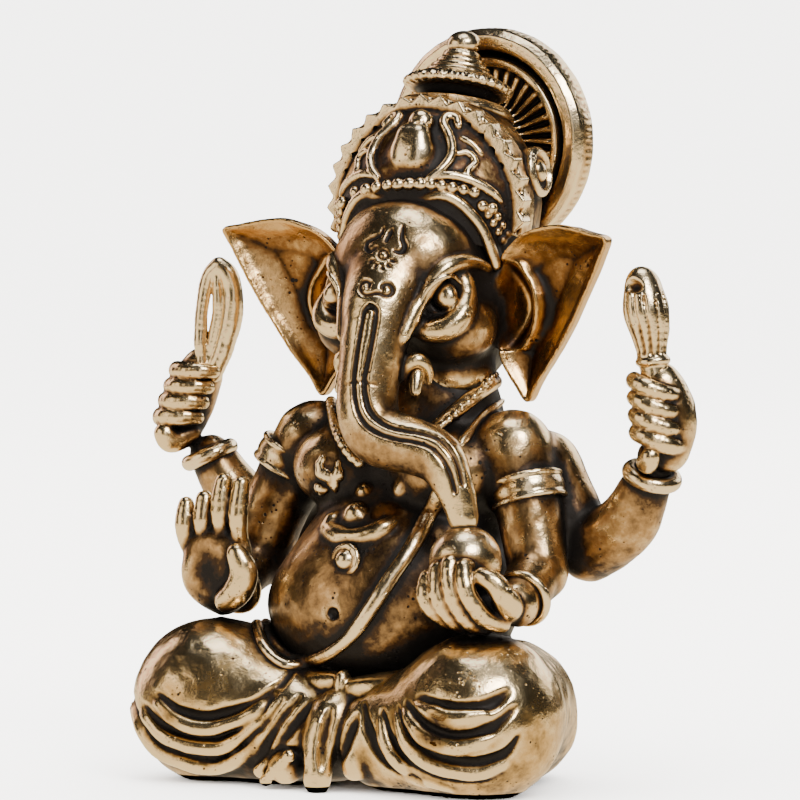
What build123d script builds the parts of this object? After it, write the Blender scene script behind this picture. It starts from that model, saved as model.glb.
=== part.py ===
"""A small cast brass figure of a seated, four-armed deity with an elephant's head.

Each cast element is its own solid: the cross-legged seat, the torso, four arms with their hands, the
head with its trunk, ears, eyes and tusks, the crown with its ornaments, and the round halo behind it.
Elements meet face to face, as the patterns of such a casting do where they are joined.

Frame, in millimetres: the figure rests on Z = 0, +Z is up, it looks along -Y, and X = 0 is its plane
of symmetry. Its own left side is +X.
"""

import os
from math import cos, radians, sin

from build123d import *

os.makedirs("parts", exist_ok=True)

LEFT, RIGHT = 1, -1

# --- Driving dimensions -------------------------------------------------------------------------

# Seat and legs. Points on paired pieces are for the left side.
SEAT_HALF_WIDTH, SEAT_HALF_DEPTH, SEAT_HEIGHT, SEAT_CENTRE_Y = 10.5, 7.2, 6.4, 0.4
HIP, HIP_RADIUS = (6.6, 0.0, 4.6), 4.7
KNEE, KNEE_RADIUS = (10.2, -7.6, 5.0), 5.4
ANKLE, ANKLE_RADIUS = (1.6, -8.4, 2.9), 3.0
FOOT_HEEL, FOOT_BALL, FOOT_RADIUS = (-4.0, -8.6, 3.0), (-5.2, -11.8, 1.8), 1.45
FIRST_TOE, TOE_STEP, TOE_RADIUS = (1.0, -0.85, 0.4), (-0.56, 0.1, -0.4), 0.45
PLEAT_SECTIONS = [  # centre, half width, half depth
    ((0, -6.2, 7.0), 1.5, 0.9),
    ((0, -9.8, 4.6), 1.7, 1.2),
    ((0, -11.0, 0.0), 1.9, 1.4),
]
SASH_RADIUS, SASH_HEIGHT, SASH_SECTION = 6.5, 6.4, 1.0

# Torso
BELLY_CENTRE, BELLY_RADIUS = (0, -1.4, 13.0), 7.9
NAVEL_ELEVATION, NAVEL_RADIUS, NAVEL_RISE = 10.0, 1.25, 0.4
CHEST_SECTIONS = [  # height, half width, half depth, centre Y
    (15.0, 7.2, 5.4, -0.7),
    (19.0, 8.0, 5.2, -0.6),
    (22.4, 7.8, 4.6, -0.4),
    (24.8, 6.4, 4.3, -0.4),
    (27.0, 5.0, 3.9, 0.0),
]
BREAST, BREAST_RADIUS = (3.7, -3.1, 19.6), 3.5
THREAD_POINTS = [  # the cord's middle line, from the left shoulder round under the belly
    (4.6, -5.4, 22.4),
    (4.2, -6.9, 19.0),
    (4.0, -8.3, 16.2),
    (2.6, -8.9, 12.2),
    (0.2, -8.4, 8.6),
    (-3.0, -7.2, 7.6),
    (-5.6, -4.9, 8.0),
    (-7.0, -2.2, 9.8),
]
THREAD_RADIUS = 0.5
NECKLACE_CENTRE, NECKLACE_TILT, NECKLACE_RADIUS, NECKLACE_SWEEP = (0, -1.2, 25.2), 35.0, 5.9, 150.0
BAND_RADIUS, NECKLACE_BEAD, NECKLACE_BEADS, BEAD_ROWS = 0.75, 0.34, 23, (10.0, 75.0)
TRUNK_GAP = 26.0
PENDANT, PENDANT_RADIUS = (-3.9, -5.8, 19.9), 1.3

# Head
SKULL_CENTRE, SKULL_RADIUS, SKULL_HALF_HEIGHT = (0, 1.6, 31.4), 6.2, 6.8
CHEEK, CHEEK_RADIUS = (3.2, -0.9, 28.6), 3.7
TRUNK = [  # point, radius
    ((0, -2.4, 33.4), 3.4),
    ((0.6, -5.2, 30.8), 2.6),
    ((0.9, -6.9, 28.4), 2.1),
    ((1.0, -7.8, 26.0), 1.9),
    ((1.0, -8.0, 23.8), 1.8),
    ((3.4, -8.1, 22.4), 1.7),
    ((5.8, -8.0, 21.6), 1.5),
    ((7.4, -8.0, 20.0), 1.3),
    ((8.3, -8.1, 17.9), 1.1),
]
EYE, EYE_RADIUS = (3.7, -3.3, 32.1), 1.2
TUSK = [((2.3, -4.0, 27.4), 0.95), ((3.0, -5.0, 26.6), 0.8), ((3.3, -5.5, 25.2), 0.35)]
EAR_OUTLINE = [  # X outwards and Z, from the root's top round the tip to the root's foot
    (4.8, 34.4),
    (7.4, 36.6),
    (10.6, 36.9),
    (14.4, 35.8),
    (13.0, 31.4),
    (10.4, 27.4),
    (8.0, 25.0),
    (6.0, 27.6),
    (4.8, 30.6),
]
EAR_CORNER_RADIUS = 0.9
EAR_Y, EAR_THICKNESS, EAR_DISH_DEPTH, EAR_LIP = -0.6, 1.5, 0.6, 0.8

# Crown, on an axis that leans back from the top of the head
CROWN_BASE, CROWN_LEAN = Vector(0, 2.4, 36.0), 17.0
DOME_SECTIONS = [  # height up the axis, half width, half depth
    (-1.2, 6.7, 5.0),
    (1.6, 7.0, 5.2),
    (4.4, 6.4, 4.8),
    (6.6, 5.0, 4.0),
    (8.0, 3.4, 3.0),
]
TIER_PROFILE = [(0, 7.5), (2.8, 7.5), (2.8, 8.6), (3.6, 9.5), (3.5, 10.1), (1.7, 10.4), (0, 10.4)]
RING_PROFILE = [(2.8, 7.5), (3.7, 7.5), (4.0, 8.0), (3.7, 8.5), (2.8, 8.5)]
SPIRE_STEPS, SPIRE_BASE, SPIRE_STEP_HEIGHT = 4, 10.4, 0.42
FINIAL_AT, FINIAL_RADIUS = 12.9, 1.0
ARCH_CENTRE, ARCH_OUTER, ARCH_INNER, ARCH_DEPTH, ARCH_TEETH = (0, 1.9, 37.6), 7.5, 6.3, 1.5, 19
ARCH_SWEEP = 200.0
BRIM_POINTS = [  # from the dip in front to the left temple
    (0, -2.7, 37.7),
    (2.4, -2.5, 38.3),
    (4.7, -1.7, 37.4),
    (6.3, -0.4, 35.6),
    (6.9, 0.2, 33.6),
]
BRIM_RADIUS = 0.6
GEM_AT, GEM_HALF_HEIGHT, GEM_HALF_WIDTH = 41.0, 1.7, 1.5
HORN_POINTS = [(0.9, 39.2), (2.5, 40.2), (2.5, 42.0), (2.1, 43.3), (2.9, 43.9)]
VINE_POINTS = [(2.6, 40.9), (3.9, 41.1), (4.3, 40.0), (3.6, 39.2), (5.0, 38.7)]
CROWN_BEAD_ROW_X, CROWN_BEAD_ROW_Z, CROWN_BEAD_RADIUS = (-2.8, -1.4, 0.0, 1.4, 2.8), 38.9, 0.5
SIDE_BEADS, SIDE_BEADS_FROM, SIDE_BEADS_TO, SIDE_BEAD_RADIUS = 7, (4.2, 41.9), (5.4, 38.2), 0.38
ROSETTE, ROSETTE_RADIUS = (6.9, 3.77, 40.03), 1.7

# Halo
HALO_CENTRE_Z = 41.6
DISH_PROFILE = [(0, 7.6), (1.8, 7.6), (2.2, 8.9), (5.0, 8.5), (5.0, 9.7), (0, 9.7)]  # radius, Y
INNER_RING_PROFILE = [(5.0, 8.3), (5.5, 8.2), (5.8, 8.5), (5.8, 9.8), (5.0, 9.8)]
RIM_PROFILE = [(5.8, 8.4), (6.2, 7.8), (6.8, 7.8), (7.1, 8.2), (7.1, 9.7), (6.8, 10.1), (5.8, 10.1)]

# Arms
SHOULDER, ELBOW = (7.7, -0.9, 21.8), (10.7, -2.2, 14.0)
SHOULDER_RADIUS, ELBOW_RADIUS = 2.7, 2.0
RIGHT_WRIST, LEFT_WRIST, WRIST_RADIUS = (-11.4, -6.0, 11.4), (11.0, -6.2, 12.7), 1.6
REAR_SHOULDER, REAR_SHOULDER_RADIUS = (8.4, 1.9, 21.0), 2.6
REAR_ELBOW, REAR_ELBOW_RADIUS = (11.8, 1.9, 15.2), 2.0
REAR_WRIST, REAR_WRIST_RADIUS = (17.0, 0.9, 20.2), 1.45
CUFF_LENGTH = 1.3
FIST_CENTRE, FIST_SIZE = (18.1, 0.0, 24.1), (3.6, 3.4, 4.8)
EMBLEM_FOOT, EMBLEM_TOP = (18.3, 0.0, 26.2), (16.4, 0.3, 33.4)
NOOSE_HALF_SPREAD, NOOSE_RADIUS = (1.5, -0.6, 0.4), 0.6
BUD_SECTIONS = [(-0.1, 0.9), (0.15, 1.1), (0.4, 1.5), (0.7, 1.85), (0.92, 1.4), (1.0, 0.8)]
MODAK_CENTRE, MODAK_RADIUS = (8.5, -8.3, 15.0), 2.35
FINGER_RADIUS = 0.68


SMALLEST = 0.03  # cubic millimetres of a bead that are worth keeping


# --- Helpers ------------------------------------------------------------------------------------


def mirrored(point, side):
    """The left side's point, on the side asked for."""
    x, y, z = point
    return (x * side, y, z)


def limb(stations):
    """A round limb through (point, radius) stations: a tapering stretch up to each, and a ball there."""
    with BuildPart() as piece:
        for (start, start_radius), (end, end_radius) in zip(stations, stations[1:]):
            start, end = Vector(*start), Vector(*end)
            with BuildSketch(Plane(start, z_dir=end - start)):
                Circle(start_radius)
            with BuildSketch(Plane(end, z_dir=end - start)):
                Circle(end_radius)
            loft()
            with Locations(end):
                Sphere(end_radius)
    return piece.part


def cord(points, radius):
    """A round bar along a smooth line through the points."""
    with BuildPart() as piece:
        with BuildLine() as line:
            Spline(*points)
        with BuildSketch(Plane(points[0], z_dir=line.line % 0)):
            Circle(radius)
        sweep()
    return piece.part


def ball(centre, radius):
    with BuildPart() as piece:
        with Locations(centre):
            Sphere(radius)
    return piece.part


def cuff(start, end, share, radius):
    """A plain band round the line from start to end, centred at a share of its length."""
    start, end = Vector(*start), Vector(*end)
    with BuildPart() as piece:
        with BuildSketch(Plane(start + (end - start) * share, z_dir=end - start)):
            Circle(radius)
        extrude(amount=CUFF_LENGTH / 2, both=True)
        fillet(piece.edges().filter_by(GeomType.CIRCLE), CUFF_LENGTH * 0.3)
    return piece.part


def boxes_meet(one, other):
    """Whether two bounding boxes share any space."""
    spans = zip(tuple(one.min), tuple(one.max), tuple(other.min), tuple(other.max))
    return all(low <= other_high and other_low <= high for low, high, other_low, other_high in spans)


written = []  # each finished solid and its bounding box


def write(name, *pieces):
    """Cuts from each piece what the earlier ones fill, and writes its largest solid under this name.

    A small piece that is all but buried in its neighbours is left out.
    """
    solids = []
    for piece in pieces:
        box = piece.bounding_box()
        with BuildPart() as trimmed:
            add(piece)
            for other, other_box in written:
                if boxes_meet(box, other_box):
                    add(other, mode=Mode.SUBTRACT)
        solids += [solid for solid in trimmed.solids().sort_by(SortBy.VOLUME)[-1:] if solid.volume > SMALLEST]
    whole = solids[0] if len(solids) == 1 else Compound(children=solids)
    whole.label = name
    export_step(whole, f"parts/{name}.step")
    written.extend((solid, solid.bounding_box()) for solid in solids)


# --- Seat and legs ------------------------------------------------------------------------------


def make_seat():
    with BuildPart() as seat:
        with BuildSketch():
            with Locations((0, SEAT_CENTRE_Y)):
                Ellipse(SEAT_HALF_WIDTH, SEAT_HALF_DEPTH)
        extrude(amount=SEAT_HEIGHT)
        fillet(seat.edges().group_by(Axis.Z)[-1], 2.4)
        fillet(seat.edges().group_by(Axis.Z)[0], 1.2)
    return seat.part


def make_leg(side):
    """A folded leg under its cloth: thigh out to the knee, shin back to the crossed ankles."""
    hip, knee, ankle = (mirrored(point, side) for point in (HIP, KNEE, ANKLE))
    folded = limb([(hip, HIP_RADIUS), (knee, KNEE_RADIUS), (ankle, ANKLE_RADIUS)])
    with BuildPart() as leg:
        add(folded)
        with Locations((0, 0, -10)):
            Box(60, 60, 20, mode=Mode.SUBTRACT)
        with Locations((-side * 30, 0, 0)):
            Box(60, 60, 60, mode=Mode.SUBTRACT)
    return leg.part


def make_foot():
    """The foot that shows under the right leg's hem."""
    return limb([(FOOT_HEEL, FOOT_RADIUS), (FOOT_BALL, FOOT_RADIUS - 0.2)])


def make_toes():
    """Its toes, side by side."""
    first = Vector(*FOOT_BALL) + Vector(*FIRST_TOE)
    return [ball(first + Vector(*TOE_STEP) * i, TOE_RADIUS) for i in range(5)]


def make_pleat():
    """The end of the waist cloth, which hangs over the crossed ankles to the ground."""
    with BuildPart() as pleat:
        for centre, half_width, half_depth in PLEAT_SECTIONS:
            with BuildSketch(Plane(centre)):
                Ellipse(half_width, half_depth)
        loft()
    return pleat.part


def make_sash():
    """The rolled sash in the lap, under the front of the belly."""
    axis = Axis((0, BELLY_CENTRE[1], 0), (0, 0, 1))
    with BuildPart() as sash:
        with BuildSketch(Plane.XZ.offset(-BELLY_CENTRE[1])):
            with Locations((SASH_RADIUS, SASH_HEIGHT)):
                Circle(SASH_SECTION)
        revolve(axis=axis, revolution_arc=-180)
    return sash.part


# --- Torso --------------------------------------------------------------------------------------


def make_chest():
    with BuildPart() as chest:
        for height, half_width, half_depth, y in CHEST_SECTIONS:
            with BuildSketch(Plane((0, y, height))):
                Ellipse(half_width, half_depth)
        loft()
        for side in (LEFT, RIGHT):
            with Locations(mirrored(BREAST, side)):
                Sphere(BREAST_RADIUS)
    return chest.part


def make_navel():
    """The raised round navel on the front of the belly."""
    outwards = Vector(0, -cos(radians(NAVEL_ELEVATION)), sin(radians(NAVEL_ELEVATION)))
    with BuildPart() as navel:
        with BuildSketch(Plane(Vector(*BELLY_CENTRE) + outwards * (BELLY_RADIUS - 0.5), z_dir=outwards)):
            Circle(NAVEL_RADIUS)
        extrude(amount=0.5 + NAVEL_RISE)
        fillet(navel.edges().sort_by(Axis.Y)[0], NAVEL_RISE * 0.7)
    return navel.part


def necklace_plane():
    """The plane of the necklace, which hangs down in front."""
    tilt = radians(NECKLACE_TILT)
    return Plane(NECKLACE_CENTRE, x_dir=(1, 0, 0), z_dir=(0, -sin(tilt), cos(tilt)))


def make_necklace_band():
    plane = necklace_plane()
    start = radians(-90 - NECKLACE_SWEEP / 2)
    outwards = plane.x_dir * cos(start) + plane.y_dir * sin(start)
    with BuildPart() as band:
        with BuildSketch(Plane(plane.origin, x_dir=outwards, z_dir=outwards.cross(plane.z_dir))):
            with Locations((NECKLACE_RADIUS, 0)):
                Circle(BAND_RADIUS)
        revolve(axis=Axis(plane.origin, plane.z_dir), revolution_arc=NECKLACE_SWEEP)
    return band.part


def make_necklace_beads():
    """Two strings of beads, side by side on the necklace's band, on each side of the trunk."""
    plane = necklace_plane()
    beads = []
    for row in BEAD_ROWS:
        reach = NECKLACE_RADIUS + (BAND_RADIUS + NECKLACE_BEAD) * cos(radians(row))
        up = (BAND_RADIUS + NECKLACE_BEAD) * sin(radians(row))
        for i in range(NECKLACE_BEADS):
            from_front = NECKLACE_SWEEP * (i / (NECKLACE_BEADS - 1) - 0.5)
            if abs(from_front) < TRUNK_GAP:
                continue
            angle = radians(-90 + from_front)
            spot = Vector(reach * cos(angle), reach * sin(angle), up)
            beads.append(ball(plane.from_local_coords(spot), NECKLACE_BEAD))
    return beads


# --- Arms and hands -----------------------------------------------------------------------------


def make_upper_arm(shoulder, shoulder_radius, elbow, elbow_radius):
    arm = limb([(shoulder, shoulder_radius), (elbow, elbow_radius)])
    with BuildPart() as rounded:
        add(arm)
        with Locations(shoulder):
            Sphere(shoulder_radius)
    return rounded.part


def finger(points, radius=FINGER_RADIUS):
    return limb([(point, radius) for point in points])


def make_raised_hand():
    """The open right hand, palm to the front: a palm, four fingers and a thumb."""
    wrist = Vector(*RIGHT_WRIST)
    thumb = wrist + Vector(1.6, -1.4, 1.0)
    fingers = [finger([thumb, thumb + Vector(0.5, -0.5, 1.3), thumb + Vector(0.6, -0.6, 2.6)], 0.75)]
    for i, length in enumerate((3.2, 4.0, 3.9, 3.0)):
        root = wrist + Vector(-1.8 + 1.2 * i, -0.9, 3.4)
        fingers.append(finger([root, root + Vector(0, 0.25, length * 0.5), root + Vector(0, 0, length)]))
    with BuildPart() as hand:
        with BuildSketch(Plane(wrist + Vector(0, -1.4, -0.2), z_dir=(0, 0, 1))):
            Ellipse(1.5, 1.3)
        with BuildSketch(Plane(wrist + Vector(0, -1.2, 2.0), z_dir=(0, 0, 1))):
            Ellipse(2.3, 1.2)
        with BuildSketch(Plane(wrist + Vector(0, -0.9, 4.2), z_dir=(0, 0, 1))):
            Ellipse(2.4, 1.0)
        loft()
        with Locations(wrist + Vector(0, -1.1, 0.3)):
            Sphere(1.55)
        add(fingers)
    return hand.part


def make_cupped_hand():
    """The left hand, which holds the sweet: a palm below it, four fingers up its front and a thumb."""
    centre = Vector(*MODAK_CENTRE)
    thumb = centre + Vector(2.4, -0.4, -2.6)
    fingers = [finger([thumb, thumb + Vector(1.0, -0.8, 1.2), thumb + Vector(0.2, -1.0, 2.5)], 0.72)]
    for i in range(4):
        x = -2.5 + 1.15 * i
        foot = centre + Vector(x + 0.9, -1.1, -3.6)
        fingers.append(finger([foot, foot + Vector(-0.4, -1.2, 1.6), centre + Vector(x, -1.9, 0.3)], 0.7))
    with BuildPart() as hand:
        with Locations(centre + Vector(0.2, 0.2, -2.4)):
            Sphere(2.1)
        add(fingers)
    return hand.part


def make_fist(side):
    """A closed hand round an upright shaft: a palm and four stacked fingers."""
    width, depth, height = FIST_SIZE
    centre = Vector(*mirrored(FIST_CENTRE, side))
    fingers = []
    for i in range(4):
        root = centre + Vector(side * 1.5, -0.5, 1.8 - 1.15 * i)
        tip = centre + Vector(-side * 1.1, -1.5, 1.8 - 1.15 * i)
        fingers.append(finger([root, (root + tip) * 0.5 + Vector(0, -0.75, 0), tip], 0.62))
    with BuildPart() as fist:
        with BuildSketch(Plane(centre + Vector(0, 0.2, -height / 2 - 0.9))):
            Ellipse(1.3, 1.3)
        with BuildSketch(Plane(centre)):
            Ellipse(width / 2, depth / 2)
        with BuildSketch(Plane(centre + Vector(-side * 0.1, 0, height / 2))):
            Ellipse(width / 2 - 0.3, depth / 2 - 0.3)
        loft()
        add(fingers)
    return fist.part


def make_noose():
    """The looped cord in the upper right hand, both of its ends in the fist."""
    foot, top = Vector(*mirrored(EMBLEM_FOOT, RIGHT)), Vector(*mirrored(EMBLEM_TOP, RIGHT))
    up, across = top - foot, Vector(*NOOSE_HALF_SPREAD)
    shares = [(-0.2, 0.45), (0.3, 0.8), (0.7, 1.0), (0.93, 0.6)]
    rising = [foot + up * share - across * spread for share, spread in shares]
    falling = [foot + up * share + across * spread for share, spread in reversed(shares)]
    return cord([*rising, top - up * 0.01, *falling], NOOSE_RADIUS)


def make_bud():
    """The lotus bud in the upper left hand, on its short stalk."""
    foot, up = Vector(*EMBLEM_FOOT), Vector(*EMBLEM_TOP) - Vector(*EMBLEM_FOOT)
    return limb([(foot + up * share, radius) for share, radius in BUD_SECTIONS])


# --- Head ---------------------------------------------------------------------------------------


def make_head():
    """The skull with its two full cheeks."""
    x, y, z = SKULL_CENTRE
    with BuildPart() as head:
        with BuildSketch(Plane.YZ):
            with Locations((y, z)):
                Ellipse(SKULL_RADIUS, SKULL_HALF_HEIGHT)
            with Locations((y - SKULL_RADIUS, z)):
                Rectangle(2 * SKULL_RADIUS, 2 * SKULL_HALF_HEIGHT, mode=Mode.SUBTRACT)
        revolve(axis=Axis((0, y, z), (0, 0, 1)))
        for side in (LEFT, RIGHT):
            with Locations(mirrored(CHEEK, side)):
                Sphere(CHEEK_RADIUS)
    return head.part


def make_ear(side):
    """A broad fan-shaped ear: a plate whose face is dished inside a raised lip."""
    with BuildPart() as ear:
        with BuildSketch(Plane.XZ.offset(-EAR_Y - EAR_THICKNESS)) as outline:
            with BuildLine():
                Polyline(*((x * side, z) for x, z in EAR_OUTLINE), close=True)
            make_face()
            fillet(outline.vertices(), EAR_CORNER_RADIUS)
        extrude(amount=EAR_THICKNESS)
        with BuildSketch(Plane.XZ.offset(-EAR_Y)):
            add(outline.sketch_local)
            offset(amount=-EAR_LIP, mode=Mode.REPLACE)
        extrude(amount=-EAR_DISH_DEPTH, mode=Mode.SUBTRACT)
    return ear.part


# --- Crown --------------------------------------------------------------------------------------


def crown_plane(height):
    """The plane across the crown's axis at a height up it."""
    lean = radians(CROWN_LEAN)
    axis = Vector(0, sin(lean), cos(lean))
    return Plane(CROWN_BASE + axis * height, x_dir=(1, 0, 0), z_dir=axis)


def crown_turning(profile):
    """A turned piece on the crown's axis, from (radius, height) points."""
    plane = crown_plane(0)
    with BuildPart() as piece:
        with BuildSketch(Plane(plane.origin, x_dir=plane.x_dir, z_dir=plane.y_dir * -1)):
            with BuildLine():
                Polyline(*profile, close=True)
            make_face()
        revolve(axis=Axis(plane.origin, plane.z_dir))
    return piece.part


def make_dome():
    with BuildPart() as dome:
        for height, half_width, half_depth in DOME_SECTIONS:
            with BuildSketch(crown_plane(height)):
                Ellipse(half_width, half_depth)
        loft()
    return dome.part


def make_spire():
    """The stepped cone under the finial."""
    profile = [(0, SPIRE_BASE)]
    for step in range(SPIRE_STEPS):
        radius, foot = 1.9 - 0.24 * step, SPIRE_BASE + SPIRE_STEP_HEIGHT * step
        profile += [(radius, foot), (radius, foot + SPIRE_STEP_HEIGHT)]
    return crown_turning(profile + [(0, profile[-1][1])])


def make_arch():
    """The toothed arch that edges the front of the crown."""
    with BuildPart() as arch:
        with BuildSketch(Plane.XZ.offset(-ARCH_CENTRE[1])):
            start = (180 - ARCH_SWEEP) / 2
            outer = []
            for i in range(2 * ARCH_TEETH + 1):
                angle = radians(start + ARCH_SWEEP * i / (2 * ARCH_TEETH))
                reach = ARCH_OUTER - 0.55 * (i % 2)
                outer.append((reach * cos(angle), ARCH_CENTRE[2] + reach * sin(angle)))
            inner = []
            for i in range(ARCH_TEETH + 1):
                angle = radians(start + ARCH_SWEEP * i / ARCH_TEETH)
                inner.append((ARCH_INNER * cos(angle), ARCH_CENTRE[2] + ARCH_INNER * sin(angle)))
            with BuildLine():
                Polyline(*outer, *reversed(inner), close=True)
            make_face()
        extrude(amount=ARCH_DEPTH)
    return arch.part


def on_dome(x, z, lift=0.0):
    """The point of the crown's front at this X and Z, lifted off the surface."""
    plane = crown_plane(0)
    for depth in range(0, 800):
        y = -4.0 + depth * 0.01
        local = plane.to_local_coords(Vector(x, y, z))
        heights = [section[0] for section in DOME_SECTIONS]
        i = max(k for k in range(len(heights)) if heights[k] <= min(max(local.Z, heights[0]), heights[-2]))
        low, high = DOME_SECTIONS[i], DOME_SECTIONS[i + 1]
        share = (local.Z - low[0]) / (high[0] - low[0])
        width = low[1] + (high[1] - low[1]) * share
        across = low[2] + (high[2] - low[2]) * share
        if (local.X / width) ** 2 + (local.Y / across) ** 2 <= 1:
            return Vector(x, y - lift, z)
    return Vector(x, 1.0, z)


def make_scroll(outline, side, radius):
    """A round bar that follows (X, Z) points over the crown's front."""
    return limb([(on_dome(x * side, z, 0.1), radius) for x, z in outline])


def make_gem():
    """The cut stone in the middle of the crown's front."""
    centre = on_dome(0, GEM_AT)
    with BuildPart() as gem:
        with BuildSketch(Plane(centre + Vector(0, 0.8, 0), x_dir=(1, 0, 0), z_dir=(0, -1, 0))):
            with BuildLine():
                half_foot, half_head = GEM_HALF_WIDTH * 0.75, GEM_HALF_WIDTH
                Polyline(
                    (-half_foot, -GEM_HALF_HEIGHT),
                    (half_foot, -GEM_HALF_HEIGHT),
                    (half_head, GEM_HALF_HEIGHT * 0.5),
                    (half_foot, GEM_HALF_HEIGHT),
                    (-half_foot, GEM_HALF_HEIGHT),
                    (-half_head, GEM_HALF_HEIGHT * 0.5),
                    close=True,
                )
            make_face()
        extrude(amount=1.9)
        chamfer(gem.faces().sort_by(Axis.Y)[0].edges(), 0.45)
    return gem.part


def make_rosette(side):
    """The round ornament over the ear: a disc with a boss in its middle."""
    x, y, z = mirrored(ROSETTE, side)
    with BuildPart() as rosette:
        with BuildSketch(Plane((x - side * 1.2, y, z), z_dir=(side, 0, 0))):
            Circle(ROSETTE_RADIUS)
        extrude(amount=1.8)
        with BuildSketch(Plane((x + side * 0.6, y, z), z_dir=(side, 0, 0))):
            Circle(ROSETTE_RADIUS * 0.5)
        extrude(amount=0.4)
    return rosette.part


def make_crown_beads():
    """A row of beads under the stone."""
    return [ball(on_dome(x, CROWN_BEAD_ROW_Z, 0.1), CROWN_BEAD_RADIUS) for x in CROWN_BEAD_ROW_X]


def make_side_beads():
    """A column of beads down each side of the crown's front."""
    (from_x, from_z), (to_x, to_z) = SIDE_BEADS_FROM, SIDE_BEADS_TO
    beads = []
    for side in (LEFT, RIGHT):
        for i in range(SIDE_BEADS):
            share = i / (SIDE_BEADS - 1)
            x, z = from_x + (to_x - from_x) * share, from_z + (to_z - from_z) * share
            beads.append(ball(on_dome(x * side, z), SIDE_BEAD_RADIUS))
    return beads


# --- Halo ---------------------------------------------------------------------------------------


def halo_turning(profile):
    """A turned piece on the halo's axis, from (radius, Y) points."""
    with BuildPart() as piece:
        with BuildSketch(Plane.XY.offset(HALO_CENTRE_Z)):
            with BuildLine():
                Polyline(*profile, close=True)
            make_face()
        revolve(axis=Axis((0, 0, HALO_CENTRE_Z), (0, 1, 0)))
    return piece.part


# --- The figure, from the ground up ---------------------------------------------------------------

sides = (("left", LEFT), ("right", RIGHT))

# Seat, torso and legs
write("seat", make_seat())
write("chest", make_chest())
write("belly", ball(BELLY_CENTRE, BELLY_RADIUS))
write("navel", make_navel())
write("left_leg", make_leg(LEFT))
write("right_leg", make_leg(RIGHT))
write("front_pleat", make_pleat())
write("foot", make_foot())
write("toes", *make_toes())
write("waist_sash", make_sash())

# Head and the crown's base
write("head", make_head())
write("crown_dome", make_dome())
brim_left = [(-x, y, z) for x, y, z in reversed(BRIM_POINTS[1:])]
write("crown_brim", cord([*brim_left, *BRIM_POINTS], BRIM_RADIUS))
write("trunk", limb(TRUNK))
for name, side in sides:
    write(f"{name}_ear", make_ear(side))
    write(f"{name}_eye", ball(mirrored(EYE, side), EYE_RADIUS))
    write(f"{name}_tusk", limb([(mirrored(point, side), radius) for point, radius in TUSK]))

# Arms, hands and what they hold
for name, side, wrist in (("left", LEFT, LEFT_WRIST), ("right", RIGHT, RIGHT_WRIST)):
    shoulder, elbow = mirrored(SHOULDER, side), mirrored(ELBOW, side)
    write(f"{name}_upper_arm", make_upper_arm(shoulder, SHOULDER_RADIUS, elbow, ELBOW_RADIUS))
    write(f"{name}_armband", cuff(shoulder, elbow, 0.28, SHOULDER_RADIUS + 0.25))
    write(f"{name}_forearm", limb([(elbow, ELBOW_RADIUS), (wrist, WRIST_RADIUS)]))
    write(f"{name}_bracelet", cuff(elbow, wrist, 0.8, WRIST_RADIUS + 0.75))
write("modak", ball(MODAK_CENTRE, MODAK_RADIUS))
write("left_hand", make_cupped_hand())
write("right_hand", make_raised_hand())
for name, side in sides:
    shoulder, elbow = mirrored(REAR_SHOULDER, side), mirrored(REAR_ELBOW, side)
    wrist = mirrored(REAR_WRIST, side)
    write(f"rear_{name}_upper_arm", make_upper_arm(shoulder, REAR_SHOULDER_RADIUS, elbow, REAR_ELBOW_RADIUS))
    write(f"rear_{name}_forearm", limb([(elbow, REAR_ELBOW_RADIUS), (wrist, REAR_WRIST_RADIUS)]))
    write(f"rear_{name}_bracelet", cuff(elbow, wrist, 0.92, REAR_WRIST_RADIUS + 0.6))
    write(f"rear_{name}_hand", make_fist(side))
write("noose", make_noose())
write("lotus_bud", make_bud())

# Thread and necklace
write("sacred_thread", cord(THREAD_POINTS, THREAD_RADIUS))
write("necklace_band", make_necklace_band())
write("necklace_beads", *make_necklace_beads())
write("pendant", ball(PENDANT, PENDANT_RADIUS))

# Crown ornaments
write("crown_arch", make_arch())
write("crown_gem", make_gem())
write("gem_scrolls", *(make_scroll(HORN_POINTS, side, 0.5) for _, side in sides))
write("crown_vines", *(make_scroll(VINE_POINTS, side, 0.4) for _, side in sides))
write("crown_beads", *make_crown_beads())
write("crown_side_beads", *make_side_beads())
for name, side in sides:
    write(f"{name}_rosette", make_rosette(side))
write("crown_tier", crown_turning(TIER_PROFILE))
write("crown_ring", crown_turning(RING_PROFILE))
write("crown_spire", make_spire())
write("crown_finial", ball(crown_plane(FINIAL_AT).origin, FINIAL_RADIUS))

# Halo
write("halo_disc", halo_turning(DISH_PROFILE))
write("halo_inner_ring", halo_turning(INNER_RING_PROFILE))
write("halo_rim", halo_turning(RIM_PROFILE))
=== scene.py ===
"""The looks of a small antiqued brass figure of a seated, elephant-headed deity.

The figure is sculpted as signed distance fields on grids: each field is a smooth union of simple solids,
with folds and lines cut or raised in it. A mesh is drawn where a field crosses zero, and how hollow or
proud the surface is at each point is kept for the brass, which is dark in its hollows and rubbed bright
on its high spots. The same value also holds painted shade where neighbouring parts would shadow the
surface, and a painted top light that makes surfaces facing up brighter.

Sculpting is in the figure's own unit, which is the frame's height over FIGURE_HEIGHT, close to 1 mm.
+Z is up, the figure looks along -Y, and its own left side is +X.
"""

from math import cos, pi, radians, sin

import bpy
import numpy as np
from mathutils import Matrix, Vector


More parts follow.
